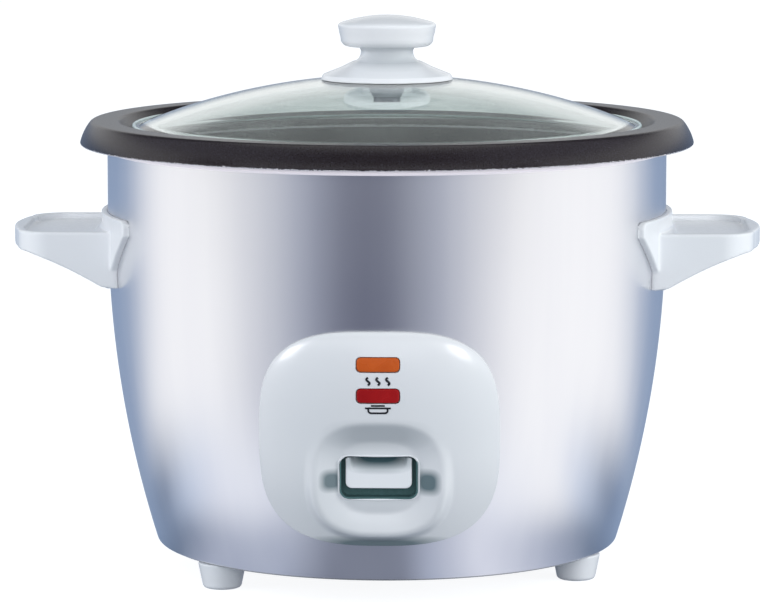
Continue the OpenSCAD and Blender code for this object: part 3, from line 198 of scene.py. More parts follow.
def whitePlastic(name="whitePlastic", paintedShades=(), pale=1.0):
    f = Finish(name)
    point = f.place()
    skin = f.noise(600.0, 2.0, 0.5, point)
    cloud = f.noise(14.0, 2.0, 0.5, point)
    color = f.mix(f.shift(cloud, 0.3, 0.7, 0.0, 1.0), tinted(white["low"], pale), tinted(white["high"], pale))
    for (x, z), (wide, tall), depth in paintedShades:  # middle, half size and depth of a soft patch of painted shade
        across = f.size((f.axis("X", point) - x * mm) * (1.0 / (wide * mm)))
        up = f.size((f.axis("Z", point) - z * mm) * (1.0 / (tall * mm)))
        soft = f.shift((across ** 3.0 + up ** 3.0) ** 0.333, 0.45, 1.0, depth, 0.0)
        color = f.mix(soft, color, white["shade"])
    return f.set(color=color, rough=f.shift(skin, 0.3, 0.7, 0.22, 0.26), normal=f.bump(skin, 0.006, 0.0001))


coat = {"base": (0.014, 0.010, 0.012), "speck": (0.045, 0.040, 0.056), "bare": (0.84, 0.81, 0.85),
        "bareFrom": 197.0, "bareTo": 198.7, "ragged": 1.6}


def potCoating():
    f = Finish("potCoating")
    point = f.place()
    up = f.axis("Z", point)
    speck = f.noise(2500.0, 1.0, 0.4, point)
    grain = f.noise(3600.0, 1.0, 0.5, point)
    color = f.mix(f.shift(speck, 0.58, 0.72, 0.0, 1.0), coat["base"], coat["speck"])
    # the spray stops raggedly, short of the rim's lower edge
    spray = up + f.noise(1500.0, 1.0, 0.5, point) * (coat["ragged"] * mm)
    bare = f.shift(spray, coat["bareTo"] * mm, (coat["bareTo"] + 0.2) * mm, 1.0, 0.0)
    bare = bare * f.shift(up, coat["bareFrom"] * mm, (coat["bareFrom"] + 0.1) * mm, 0.0, 1.0)
    return f.set(color=f.mix(bare, color, coat["bare"]), rough=f.shift(speck, 0.35, 0.75, 0.27, 0.35),
                 normal=f.bump(grain, 0.012, 0.0001), specular=0.42)


def tintedGlass(tone=(0.895, 0.975, 0.965)):
    f = Finish("tintedGlass")
    haze = f.noise(40.0, 2.0)
    color = f.mix(f.shift(haze, 0.3, 0.7, 0.0, 1.0), tone, tinted(tone, 1.01))
    return f.set(color=color, clear=1.0, rough=0.0, ior=1.5)


def metal(name, tone, rough, scale=300.0, stretch=(1.0, 1.0, 1.0), depth=0.04, shine=1.0):
    f = Finish(name)
    grain = f.noise(scale, 3.0, 0.6, f.stretch(f.place(), stretch))
    color = f.mix(f.shift(grain, 0.3, 0.7, 0.0, 1.0), tinted(tone, 0.9), tone)
    return f.set(color=color, metal=shine, rough=f.shift(grain, 0.3, 0.7, rough * 0.85, rough * 1.15),
                 normal=f.bump(grain, depth, 0.0002))


def turnedPlate():
    f = Finish("turnedPlate")  # lathe rings round the upright axis
    point = f.place()
    x = f.axis("X", point)
    y = f.axis("Y", point)
    ring = f.wave(((x * x + y * y) ** 0.5) * 5200.0)
    stain = f.noise(30.0, 4.0, 0.6, point)
    color = f.mix(f.shift(stain, 0.35, 0.7, 0.0, 1.0), (0.66, 0.65, 0.63), (0.78, 0.78, 0.77))
    return f.set(color=color, metal=0.95, rough=f.shift(stain, 0.3, 0.7, 0.3, 0.42),
                 normal=f.bump(ring, 0.15, 0.0002))


def plain(name, tone, rough, scale=500.0, depth=0.04, variation=0.9, specular=0.5):
    f = Finish(name)
    grain = f.noise(scale, 3.0, 0.6)
    color = f.mix(f.shift(grain, 0.3, 0.7, 0.0, 1.0), tinted(tone, variation), tone)
    return f.set(color=color, rough=f.shift(grain, 0.3, 0.7, rough - 0.04, rough + 0.04),
                 normal=f.bump(grain, depth, 0.0002), specular=specular)


def lampLens(name, tone, deep):
    f = Finish(name)
    low = f.shift(f.noise(90.0, 2.0), 0.3, 0.7, 0.0, 1.0)
    ribs = f.wave(f.axis("X") * 5000.0)
    # the lenses' faint glow is painted light; no lamp behind them is lit
    return f.set(color=f.mix(low, deep, tone), rough=f.shift(low, 0.0, 1.0, 0.22, 0.3), specular=0.25,
                 normal=f.bump(ribs, 0.02, 0.0002), glow=tone, glowStrength=0.12)


finishes = {
    "silver_body": silverLacquer(),
    "white_plastic": whitePlastic(),
    "pot_coating": potCoating(),
    "tinted_glass": tintedGlass(),
    "dark_gloss_plastic": plain("darkGloss", (0.10, 0.20, 0.205), 0.36, variation=0.8, specular=0.15),
    "liner_metal": metal("linerSheet", (0.70, 0.70, 0.69), 0.34, 160.0, (1.0, 1.0, 0.08)),
    "base_metal": metal("baseSheet", (0.46, 0.47, 0.48), 0.5, 240.0, shine=0.6),
    "cast_aluminium": turnedPlate(),
    "heater_sheath": metal("heaterSheath", (0.24, 0.22, 0.21), 0.5, 700.0, shine=0.8),
    "zinc_steel": metal("zincSteel", (0.58, 0.60, 0.62), 0.36, 120.0),
    "steel_screw": metal("screwSteel", (0.62, 0.63, 0.65), 0.24, 900.0),
    "spring_steel": metal("springSteel", (0.50, 0.51, 0.53), 0.3, 600.0),
    "brass_parts": metal("brassParts", (0.72, 0.58, 0.28), 0.3, 500.0),
    "plated_pins": metal("platedPins", (0.72, 0.71, 0.68), 0.22, 500.0),
    "dark_ferrite": plain("darkFerrite", (0.075, 0.072, 0.07), 0.6),
    "white_ceramic": plain("whiteCeramic", (0.80, 0.78, 0.72), 0.55),
    "tan_ceramic": plain("tanCeramic", (0.46, 0.38, 0.28), 0.6),
    "white_matte": plain("whiteMatte", (0.80, 0.82, 0.82), 0.42, variation=0.96),
    "black_plastic": plain("blackPlastic", (0.030, 0.031, 0.034), 0.42, 700.0, 0.12),
    "red_plastic": plain("redPlastic", (0.52, 0.05, 0.04), 0.4),
    "amber_lens": lampLens("amberLens", (0.52, 0.095, 0.012), (0.44, 0.072, 0.010)),
    "red_lens": lampLens("redLens", (0.36, 0.008, 0.009), (0.27, 0.006, 0.008)),
    "lamp_glass": plain("lampGlass", (0.80, 0.66, 0.60), 0.12),
    "lead_sleeve": plain("leadSleeve", (0.62, 0.58, 0.49), 0.8, 1500.0, 0.4),
}
# painted shade on the panel: dark patches beside the window, a dark band along the lower edge under the chin,
# and a faint shade inside the dish's upper edge
panelPaintedShades = [((-20.6, 59.9), (6.0, 5.8), 0.85), ((21.6, 59.4), (6.4, 6.6), 0.92),
               ((0.0, 29.6), (34.0, 5.0), 0.85), ((0.0, 81.0), (25.0, 8.0), 0.22)]
looks = {
    "print_ink": plain("printInk", (0.012, 0.012, 0.016), 0.4),
    "panel_plastic": whitePlastic("panelPlasticPaintedShade", panelPaintedShades, pale=0.89),
    # painted shade over the lever's scoop, under the window's upper edge
    "lever_plastic": whitePlastic("leverPlasticPaintedShade", [((0.0, 72.6), (18.0, 10.0), 1.0)]),
    # painted shade round the knob's neck, where it meets the foot
    "knob_plastic": whitePlastic("knobPlasticPaintedShade", [((2.0, 238.7), (20.0, 7.5), 0.3)]),
    "rim_glass": plain("rimGlass", (0.62, 0.78, 0.77), 0.18, variation=0.95),
    "dull_screw": metal("dullScrew", (0.20, 0.20, 0.22), 0.4, 900.0),
}
print("finishes made")


def dress(piece, slot):
    piece.data.materials.clear()
    piece.data.materials.append(looks.get(slot) or finishes[slot])


for part in frame["record"]["subparts"]:
    dress(nodes[part["node"]], part["material_slot"])


def freeHands():
    if bpy.context.object and bpy.context.object.mode != "OBJECT":
        bpy.ops.object.mode_set(mode="OBJECT")
    bpy.ops.object.select_all(action="DESELECT")


def takeUp(piece):
    freeHands()
    piece.select_set(True)
    bpy.context.view_layer.objects.active = piece


def edit(piece):
    takeUp(piece)
    bpy.ops.object.mode_set(mode="EDIT")
    bpy.ops.mesh.select_all(action="SELECT")


def leave():
    bpy.ops.object.mode_set(mode="OBJECT")


def stand(piece, body, slot, *replaced, smooth=40.0, look=None):  # finish, body, slot and replaced nodes
    takeUp(piece)
    bpy.ops.object.shade_smooth_by_angle(angle=math.radians(smooth))
    dress(piece, look or slot)
    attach(piece, body)
    if replaced:
        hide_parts(*replaced)
    return piece


def arc(cx, cz, r, first, last, steps=8):  # angles in degrees from the x axis
    turns = [math.radians(first + (last - first) * i / steps) for i in range(steps + 1)]
    return [(cx + r * math.cos(t), cz + r * math.sin(t)) for t in turns]


def quarter(steps):
    return [math.pi / 2.0 * i / (steps - 1) for i in range(steps)]


def rounded(corners, steps=6, closed=True):  # corners as x, z and radius
    line = []
    count = len(corners)
    for i, (x, z, r) in enumerate(corners):
        if r <= 0 or (not closed and i in (0, count - 1)):
            line.append((x, z))
            continue
        here = Vector((x, z))
        back = (Vector(corners[i - 1][:2]) - here).normalized()
        ahead = (Vector(corners[(i + 1) % count][:2]) - here).normalized()
        half = math.acos(max(-1.0, min(1.0, back.dot(ahead)))) / 2.0
        if half > math.radians(88.0):
            line.append((x, z))
            continue
        setback = r / math.tan(half)
        centre = here + (back + ahead).normalized() * (r / math.sin(half))
        start = here + back * setback - centre
        end = here + ahead * setback - centre
        sweep = math.atan2(start.x * end.y - start.y * end.x, start.dot(end))
        first = math.atan2(start.y, start.x)
        for k in range(steps + 1):
            a = first + sweep * k / steps
            line.append((centre.x + r * math.cos(a), centre.y + r * math.sin(a)))
    return line


def turned(name, outline, closed=True, steps=192):
    freeHands()
    bpy.ops.mesh.primitive_plane_add(size=mm, location=(0, 0, 0))
    piece = bpy.context.object
    piece.name = name
    edit(piece)
    bpy.ops.mesh.merge(type="CENTER")
    points = [Vector((x, 0.0, z)) * mm for x, z in outline]
    bpy.ops.transform.translate(value=points[0])
    for here, there in zip(points, points[1:] + (points[:1] if closed else [])):
        bpy.ops.mesh.extrude_region_move(TRANSFORM_OT_translate={"value": there - here})
    bpy.ops.mesh.select_all(action="SELECT")
    bpy.ops.mesh.remove_doubles(threshold=1e-6)
    bpy.ops.mesh.select_all(action="SELECT")
    bpy.ops.mesh.spin(steps=steps, angle=math.tau, center=(0, 0, 0), axis=(0, 0, 1), use_auto_merge=True)
    bpy.ops.mesh.select_all(action="SELECT")
    bpy.ops.mesh.remove_doubles(threshold=1e-6)
    bpy.ops.mesh.normals_make_consistent(inside=False)
    leave()
    return piece


def even(line, count):  # the closed line as points at equal spaces
    loop = line + line[:1]
    spans = [math.dist(a, b) for a, b in zip(loop, loop[1:])]
    total = sum(spans)
    points = []
    index = 0
    gone = 0.0
    for k in range(count):
        want = total * k / count
        while gone + spans[index] < want:
            gone += spans[index]
            index += 1
        t = (want - gone) / spans[index] if spans[index] else 0.0
        points.append(tuple(a + (b - a) * t for a, b in zip(loop[index], loop[index + 1])))
    return points


def picked(line, turn):
    return line[round(turn * len(line)) % len(line)]


def moulded(name, outline, shape, steps, closed=False):  # a turned blank, moved point by point
    piece = turned(name, outline, closed=closed, steps=steps)
    for point in piece.data.vertices:
        x, y, z = point.co / mm
        turn = math.atan2(y, x) / math.tau
        point.co = Vector(shape(math.hypot(x, y), turn % 1.0, z)) * mm
    edit(piece)
    bpy.ops.mesh.normals_make_consistent(inside=False)
    leave()
    return piece


def roundedBox(wide, tall, corner, count):
    w, h = wide / 2.0, tall / 2.0
    line = rounded([(w, -h, corner), (w, h, corner), (-w, h, corner), (-w, -h, corner)], steps=8)
    start = max(range(len(line)), key=lambda i: line[i][0] - abs(line[i][1]) * 0.01)
    return even(line[start:] + line[:start], count)


def drilled(piece, cutter):
    takeUp(piece)
    drill = piece.modifiers.new("drill", "BOOLEAN")
    drill.operation = "DIFFERENCE"
    drill.solver = "EXACT"
    drill.object = cutter
    bpy.ops.object.modifier_apply(modifier="drill")
    bpy.data.objects.remove(cutter)


def cut(piece, holes, side=1.0):  # holes at x, z through the front, or the back with side -1
    for (x, z), line in holes:
        def shape(r, turn, layer):
            px, pz = picked(line, turn)
            return (x + px * r, side * (-60.0 - layer * 45.0), z + pz * r)

        cutter = moulded("cutter", [(0.0, 2.0), (1.0, 2.0), (1.0, 1.0), (0.0, 1.0)], shape, len(line))
        drilled(piece, cutter)


housing = {"radius": 128.8, "foot": 12.7, "tall": 183.7, "taper": 146.8, "bow": 490.0, "corner": 3.4,
           "sheet": 0.8, "flange": 19.0, "lipOut": 0.9, "lipTall": 2.6, "lipRise": 0.9, "lipWide": 1.6,
           "innerLip": 118.1, "panelHole": (64.4, 83.5, 6.0), "panelMid": 79.0,
           "inletHole": (31.0, 23.0, 3.0), "inletMid": 37.7}
lipTop = housing["foot"] + housing["tall"]


def wallLean(z):
    bend = housing["foot"] + housing["taper"]
    return math.asin((bend - z) / housing["bow"]) if z < bend else 0.0


def wallRadius(z):
    return housing["radius"] - housing["bow"] * (1.0 - math.cos(wallLean(z)))


def wallLine(inward, top, steps=36):
    lean = math.degrees(wallLean(housing["foot"] + housing["corner"] * 0.3))
    low = housing["foot"] + housing["corner"] * (1.0 - math.sin(math.radians(lean)))
    cx = wallRadius(low) - housing["corner"] * math.cos(math.radians(lean))
    line = [(cx - housing["flange"], housing["foot"] + inward)]
    line += arc(cx, housing["foot"] + housing["corner"], housing["corner"] - inward, -90.0, -lean)
    bend = housing["foot"] + housing["taper"]
    for i in range(1, steps + 1):
        z = low + (bend - low) * i / steps
        a = wallLean(z)
        line.append((wallRadius(z) - inward * math.cos(a), z + inward * math.sin(a)))
    return line + [(housing["radius"] - inward, top)]


def makeHousing():
    radius = housing["radius"]
    bead = housing["lipTall"] / 2.0
    under = lipTop - housing["sheet"]
    outer = wallLine(0.0, lipTop + housing["lipRise"] - housing["lipTall"])
    lip = arc(radius, lipTop + housing["lipRise"] - bead, bead, -80.0, 90.0, 10)
    lip = [(radius + (x - radius) * housing["lipOut"] / bead, z) for x, z in lip]
    inner = [(radius - housing["lipWide"] + 0.4, lipTop + 0.4), (radius - housing["lipWide"], lipTop),
             (housing["innerLip"], lipTop), (housing["innerLip"], under)]
    back = wallLine(housing["sheet"], under - 0.1)
    shell = turned("bodyShell", outer + lip + inner + back[::-1], steps=256)
    cut(shell, [((0.0, housing["panelMid"]), roundedBox(*housing["panelHole"], 96))])
    cut(shell, [((0.0, housing["inletMid"]), roundedBox(*housing["inletHole"], 96))], side=-1.0)
    return stand(shell, "housing", "silver_body", "outer_body", smooth=32.0)


makeHousing()
print("housing made")


# millimetres, and degrees for lean, fall and turnIn
pot = {"bore": 110.6, "wall": 1.6, "corner": 20.0, "floor": 72.1, "rim": 208.4, "ledge": 201.3,
       "ledgeWide": 7.5, "lean": 33.0, "top": 9.6, "edge": 2.6, "nook": 1.5, "shoulder": 3.2, "fall": 38.0,
       "turnIn": 14.0, "curl": 0.9, "skirt": 197.5}


def potLine(out):  # the section of the face that stands this far out from the inner one
    lean = math.radians(pot["lean"])
    first = math.radians(pot["fall"])
    last = math.radians(pot["turnIn"])
    foot = pot["bore"] + pot["ledgeWide"]
    low = pot["ledge"] + pot["nook"] * (1.0 - math.sin(lean))
    high = pot["rim"] - pot["edge"] * (1.0 - math.sin(lean))
    crest = foot + pot["nook"] * math.cos(lean) + (high - low) * math.tan(lean) + pot["edge"] * math.cos(lean)
    shoulder = crest + pot["top"]
    drop = pot["rim"] - pot["skirt"] - pot["shoulder"] * (1.0 - math.sin(first))
    drop -= pot["curl"] * (1.0 + math.sin(last))
    bow = drop / (math.sin(first) - math.sin(last))
    bx = shoulder - (bow - pot["shoulder"]) * math.cos(first)
    bz = pot["rim"] - pot["shoulder"] - (bow - pot["shoulder"]) * math.sin(first)
    curl = bx + (bow - pot["curl"]) * math.cos(last)
    floor = pot["floor"] + pot["wall"]
    line = [(0.0, floor - out)]
    line += arc(pot["bore"] - pot["corner"], floor + pot["corner"], pot["corner"] + out, -90, 0, 14)
    line += arc(pot["bore"] + pot["edge"], pot["ledge"] - pot["edge"], pot["edge"] - out, 180, 90)
    line += arc(foot, pot["ledge"] + pot["nook"], pot["nook"] + out, -90, -pot["lean"])
    line += arc(crest, pot["rim"] - pot["edge"], pot["edge"] - out, 180 - pot["lean"], 90)
    line += arc(shoulder, pot["rim"] - pot["shoulder"], pot["shoulder"] - out, 90, pot["fall"])
    line += arc(bx, bz, bow - out, pot["fall"], pot["turnIn"], 10)[1:]
    end = arc(curl, pot["skirt"] + pot["curl"], pot["curl"], pot["turnIn"], -90, 6)[1:]
    return line + (end if out < 0.1 else [(curl - 0.4, pot["skirt"]), (curl - 1.2, pot["skirt"] + 0.6)])


def makePot():
    shell = turned("innerPot", potLine(0.0) + potLine(pot["wall"])[::-1], closed=False, steps=256)
    return stand(shell, "pot", "pot_coating", "inner_pot", smooth=40.0)


makePot()
print("pot made")


def ownCopy(name, node):
    freeHands()
    piece = nodes[node].copy()
    piece.data = nodes[node].data.copy()
    for key in list(piece.keys()):
        del piece[key]
    piece.parent = None
    piece.name = name
    bpy.context.collection.objects.link(piece)
    edit(piece)
    bpy.ops.mesh.remove_doubles(threshold=1e-6)
    leave()
    return piece


def softened(name, node, slot, size, passes):  # the node's own shape with its edges worn round
    piece = ownCopy(name, node)
    remesh = piece.modifiers.new("remesh", "REMESH")
    remesh.mode = "VOXEL"
    remesh.voxel_size = size * mm
    bpy.ops.object.modifier_apply(modifier="remesh")
    relax = piece.modifiers.new("relax", "SMOOTH")
    relax.iterations = passes
    relax.factor = 0.5
    bpy.ops.object.modifier_apply(modifier="relax")
    return stand(piece, "housing", slot, node, smooth=60.0)


grip = {"voxel": 0.6, "passes": 4, "gap": 0.03, "near": 0.9, "reach": 2.6}


def seated(piece):  # the root lies on the curved wall without a groove
    for point in piece.data.vertices:
        x, y, z = point.co / mm
        out = math.hypot(x, y) - wallRadius(z)
        if out < grip["reach"]:
            share = max(0.0, (out - grip["near"]) / (grip["reach"] - grip["near"])) ** 0.7
            k = (wallRadius(z) + grip["gap"] + (grip["reach"] - grip["gap"]) * share) / math.hypot(x, y)
            point.co = Vector((x * k, y * k, z)) * mm


lid = {"radius": 117.5, "low": 201.4, "thick": 4.0, "rise": 22.7, "hole": 3.5, "step": 113.4, "lip": 0.5,
       "bead": 0.9, "round": 0.6, "innerEdge": 2.9, "vent": 3.0}
domeHalf = lid["radius"] - lid["thick"] / 2.0
domeRadius = (domeHalf ** 2 + lid["rise"] ** 2) / (2.0 * lid["rise"])
apex = lid["low"] + lid["thick"] + lid["rise"]


def domeHeight(r, under=0.0):
    return apex - domeRadius + math.sqrt((domeRadius - under) ** 2 - r * r)


def domeLine(last, under=0.0, steps=30):
    first = lid["hole"]
    return [(r, domeHeight(r, under)) for r in (first + (last - first) * i / steps for i in range(steps + 1))]


def middle(piece):
    spots = [piece.matrix_world @ point.co for point in piece.data.vertices]
    return [(min(spot[i] for spot in spots) + max(spot[i] for spot in spots)) / 2.0 for i in range(3)]


def makeGlass():
    rim = lid["radius"] - 1.0
    lip = domeHeight(lid["step"]) - lid["lip"]
    edge = [(lid["step"] + 0.8, lip), (rim - lid["round"], lip), (rim, lip - 0.8)]
    edge += [(rim, lid["low"] + lid["round"]), (rim - lid["round"], lid["low"])]
    under = domeLine(lid["radius"] - lid["innerEdge"], lid["thick"])
    glass = turned("glassDome", domeLine(lid["step"]) + edge + under[::-1], steps=256)
    vent = middle(nodes["vent_eyelet"])
    lean = math.asin(vent[1] / (domeRadius * mm))  # the vent's hole stands square to the dome
    freeHands()
    bpy.ops.mesh.primitive_cylinder_add(vertices=48, radius=lid["vent"] * mm, depth=0.02, location=vent,
                                        rotation=(-lean, 0.0, 0.0))
    drilled(glass, bpy.context.object)
    stand(glass, "lid", "tinted_glass", "lid_glass", smooth=30.0)
    bead = arc(lid["radius"] - lid["bead"], lip - 0.1, lid["bead"], 0.0, 330.0, 11)
    return stand(turned("glassEdge", bead, steps=256), "lid", "tinted_glass", smooth=60.0, look="rim_glass")


knob = {"top": 28.2, "crown": 3.4, "crownWide": 21.1, "lip": 1.5, "side": 22.0, "sideEnd": 21.4,
        "sideTall": 10.2, "under": 14.2, "underRound": 3.5, "neck": 12.0, "bend": 11.4, "skirtTop": 6.8,
        "foot": 30.4}


def makeKnob():
    top = apex + knob["top"]
    rim = top - knob["crown"]
    bend = apex + knob["bend"]
    foot = domeHeight(knob["foot"]) + 0.1
    line = [(0.0, top)]
    line += [(knob["crownWide"] * i / 12.0, top - knob["crown"] * (i / 12.0) ** 2) for i in range(1, 13)]
    line += arc(knob["side"] - 1.0, rim - 1.6, knob["lip"], 80.0, -12.0)
    line += [(knob["side"], top - 8.0), (knob["sideEnd"], top - knob["sideTall"])]
    line += arc(knob["sideEnd"] - knob["underRound"], apex + knob["under"] + 3.2, knob["underRound"],
                -15.0, -90.0)
    line += [(knob["neck"] + 3.0 * (1.0 - math.sin(a)), bend + 2.6 * math.cos(a)) for a in quarter(9)]
    line += [(knob["neck"] + 4.0 * (1.0 - math.cos(a)), bend - 4.6 * math.sin(a)) for a in quarter(9)]
    line += rounded([(knob["neck"] + 4.0, apex + knob["skirtTop"], 0), (21.0, apex + 4.3, 14.0),
                     (knob["foot"] - 1.0, apex + 0.9, 1.2), (knob["foot"], foot + 0.5, 0.5),
                     (knob["foot"] - 0.1, foot, 0.2), (28.0, foot + 0.25, 0)], closed=False)[1:]
    line += [(27.0, apex + 0.6), (9.0, apex + 2.0), (8.0, apex + 0.1), (0.0, apex + 0.1)]
    piece = turned("lidKnob", line, closed=False, steps=128)
    return stand(piece, "lid", "white_plastic", "lid_knob", smooth=50.0, look="knob_plastic")


def makeLidScrew():
    piece = ownCopy("lidScrew", "lid_screw")
    return stand(piece, "lid", "steel_screw", "lid_screw", smooth=30.0, look="dull_screw")


collar = {"bore": 2.2, "top": 8.4, "topTall": 0.7, "foot": 6.6, "round": 0.3}


def makeLidCollar():
    spots = [nodes["lid_collar"].matrix_world @ point.co / mm for point in nodes["lid_collar"].data.vertices]
    low = min(spot.z for spot in spots)
    high = max(spot.z for spot in spots)
    line = [(collar["bore"], high), (collar["top"], high), (collar["top"], high - collar["topTall"]),
            (collar["foot"], low + collar["round"]), (collar["foot"] - collar["round"], low),
            (collar["bore"], low)]
    piece = turned("lidCollar", line, steps=64)
    return stand(piece, "lid", "steel_screw", "lid_collar", smooth=30.0, look="white_plastic")


makeGlass()
makeKnob()
makeLidScrew()
makeLidCollar()
print("lid made")


panel = {"wide": 53.0, "tall": 48.7, "mid": 78.0, "power": 3.1, "proud": 7.0, "chin": 4.5, "chinEnd": 1.14,
         "chinTop": 2.0, "chinTall": 40.0, "fallTop": 8.0, "fallTall": 38.0, "edge": 1.2, "wall": 2.4,
         "rings": 110, "backRings": 30, "steps": 288}
dish = {"wide": 29.0, "tall": 26.3, "mid": 61.3, "power": 2.8, "depth": 6.5, "floor": 0.58, "fillet": 0.2}
window = {"wide": 34.4, "tall": 19.2, "corner": 4.0, "bead": 0.5}
lamps = {"wide": 18.9, "tall": 6.4, "corner": 1.8, "warm": 112.8, "cook": 99.1, "gap": 0.25}


def reach(x, z, wide, tall, power):  # 1 on the edge of a rounded square
    return (abs(x / wide) ** power + abs(z / tall) ** power) ** (1.0 / power)


def ease(t):
    t = max(0.0, min(1.0, t))
    return t * t * (3.0 - 2.0 * t)


def bevelled(t, fillet):  # a straight ramp with both ends rounded
    t = max(0.0, min(1.0, t))
    rise = 1.0 / (1.0 - fillet)
    if t < fillet:
        return rise * t * t / (2.0 * fillet)
    if t > 1.0 - fillet:
        return 1.0 - rise * (1.0 - t) ** 2 / (2.0 * fillet)
    return rise * (t - fillet / 2.0)


def faceRadius(x, z):  # full above, falling away softly below, with a chin round the dish
    s = min(1.0, reach(x, z - panel["mid"], panel["wide"], panel["tall"], panel["power"]))
    d = reach(x, z - dish["mid"], dish["wide"], dish["tall"], dish["power"])
    fall = ease((panel["mid"] - panel["fallTop"] - z) / panel["fallTall"])
    pillow = (1.0 - s ** (3.2 - fall)) ** (0.55 + 0.35 * fall)
    low = ease((panel["mid"] + panel["chinTop"] - z) / panel["chinTall"])
    rim = ease((panel["chinEnd"] - d) / (panel["chinEnd"] - 1.0)) * math.sqrt(1.0 - s ** 8)
    sink = dish["depth"] * bevelled((1.0 - d) / (1.0 - dish["floor"]), dish["fillet"])
    return wallRadius(z) + panel["edge"] + pillow * panel["proud"] + panel["chin"] * low * rim - sink


def onRound(x, z, r):
    return (x, -math.sqrt(r * r - x * x), z)


def onFace(x, z, lift=0.0):
    return onRound(x, z, faceRadius(x, z) + lift)


def onWall(x, z, lift=0.0):
    return onRound(x, z, wallRadius(z) + lift)


def makePanel():
    def shape(r, turn, layer):
        a = turn * math.tau
        n = 2.0 / panel["power"]
        x = panel["wide"] * r * math.copysign(abs(math.cos(a)) ** n, math.cos(a))
        z = panel["tall"] * r * math.copysign(abs(math.sin(a)) ** n, math.sin(a)) + panel["mid"]
        if layer > 1.5:
            return onFace(x, z)
        if layer > 0.5:
            return onWall(x, z, 0.1)
        return (x, min(onWall(x, z, 0.1)[1], onFace(x, z, -panel["wall"])[1]), z)

    count = panel["rings"]
    front = [(1.0 - (1.0 - i / count) ** 1.7, 2.0) for i in range(count + 1)]
    shrink = 1.0 - panel["wall"] / panel["wide"]
    back = [(shrink * i / panel["backRings"], 0.0) for i in range(panel["backRings"], -1, -1)]
    shell = moulded("controlPanel", front + [(1.0, 1.0)] + back, shape, panel["steps"])
    gap = lamps["gap"] * 2.0
    lampHole = roundedBox(lamps["wide"] + gap, lamps["tall"] + gap, 2.0, 64)
    cut(shell, [((0.0, dish["mid"]), roundedBox(window["wide"], window["tall"], window["corner"], 96)),
                ((0.0, lamps["warm"]), lampHole), ((0.0, lamps["cook"]), lampHole)])
    return stand(shell, "housing", "white_plastic", "control_panel", smooth=50.0, look="panel_plastic")


def makeWindowRim():
    size = window["bead"]
    line = roundedBox(window["wide"] + 0.6, window["tall"] + 0.6, window["corner"] + 0.3, 160)

    def shape(r, turn, layer):
        px, pz = picked(line, turn)
        out = 1.0 + (r - 10.0) * size / math.hypot(px, pz)
        return onFace(px * out, dish["mid"] + pz * out, layer * size)

    piece = moulded("windowRim", arc(10.0, 0.0, 1.0, 0.0, 330.0, 11), shape, len(line), closed=True)
    return stand(piece, "housing", "white_plastic", smooth=60.0)


def makeLens(name, height, slot, node):
    line = roundedBox(lamps["wide"] - 0.3, lamps["tall"] - 0.3, lamps["corner"], 96)

    def shape(r, turn, layer):
        px, pz = picked(line, turn)
        return onFace(px * min(r, 1.0), height + pz * min(r, 1.0), layer)

    outline = [(i / 10.0 * 0.93, 0.25) for i in range(11)]
    outline += [(0.95, 0.22), (0.975, 0.12), (0.99, -0.05), (1.0, -0.3), (1.0, -2.6), (0.0, -2.6)]
    piece = moulded(name, outline, shape, 96)
    return stand(piece, "housing", slot, node, smooth=50.0)


def stroke(name, path, width):  # a thin line of print along the path
    freeHands()
    bpy.ops.mesh.primitive_grid_add(x_subdivisions=1, y_subdivisions=len(path) - 1, size=2.0)
    piece = bpy.context.object
    piece.name = name
    for point in piece.data.vertices:
        k = round((point.co.y + 1.0) / 2.0 * (len(path) - 1))
        ahead = Vector(path[min(k + 1, len(path) - 1)]) - Vector(path[max(k - 1, 0)])
        side = Vector((ahead.y, -ahead.x)).normalized() * (width / 2.0) * point.co.x
        spot = Vector(path[k]) + side
        point.co = Vector(onFace(spot.x, spot.y, 0.12)) * mm
    takeUp(piece)
    thick = piece.modifiers.new("thick", "SOLIDIFY")
    thick.thickness = 0.1 * mm
    thick.offset = 0.0
    bpy.ops.object.modifier_apply(modifier="thick")
    edit(piece)
    bpy.ops.mesh.normals_make_consistent(inside=False)
    leave()
    return piece


def join(name, pieces):
    freeHands()
    for piece in pieces:
        piece.select_set(True)
    bpy.context.view_layer.objects.active = pieces[0]
    bpy.ops.object.join()
    pieces[0].name = name
    return pieces[0]


signs = {"heatPitch": 4.3, "heatSway": 0.7, "heatLow": 103.9, "heatTall": 3.4, "heatLine": 0.95,
         "bowlHalf": 4.2, "bowlLow": 91.5, "bowlTall": 2.1, "bowlRound": 1.2, "bowlLine": 0.8,
         "bars": [(5.6, 2.2), (3.0, 3.3)], "barLine": 0.75}


def makeSigns():
    heat = []
    for k in (-1, 0, 1):
        path = [(k * signs["heatPitch"] + signs["heatSway"] * math.sin(i / 16.0 * math.tau),
                 signs["heatLow"] + i / 16.0 * signs["heatTall"]) for i in range(17)]
        heat.append(stroke("heat", path, signs["heatLine"]))
    stand(join("heatSign", heat), "housing", "white_plastic", look="print_ink")
    half, low = signs["bowlHalf"], signs["bowlLow"]
    high = low + signs["bowlTall"]
    bowl = rounded([(-half, high, 0), (-half, low, signs["bowlRound"]), (half, low, signs["bowlRound"]),
                    (half, high, 0)], closed=False)
    marks = [stroke("pan", bowl, signs["bowlLine"])]
    for wide, up in signs["bars"]:
        marks.append(stroke("pan", [(-wide, low + up), (0.0, low + up), (wide, low + up)], signs["barLine"]))
    stand(join("panSign", marks), "housing", "white_plastic", look="print_ink")


makePanel()
makeWindowRim()
makeLens("warmLens", lamps["warm"], "amber_lens", "warm_lens")
makeLens("cookLens", lamps["cook"], "red_lens", "cook_lens")
makeSigns()
print("control panel made")


tab = {"half": 14.5, "low": 56.6, "high": 70.3, "corner": 2.6, "front": 122.0, "deep": 9.0, "scoop": 4.2,
       "scoopHalf": 12.6, "scoopLow": 64.4, "stemEnd": 108.0, "stemMid": 62.5, "stemWide": 16.0,
       "stemTall": 5.0}


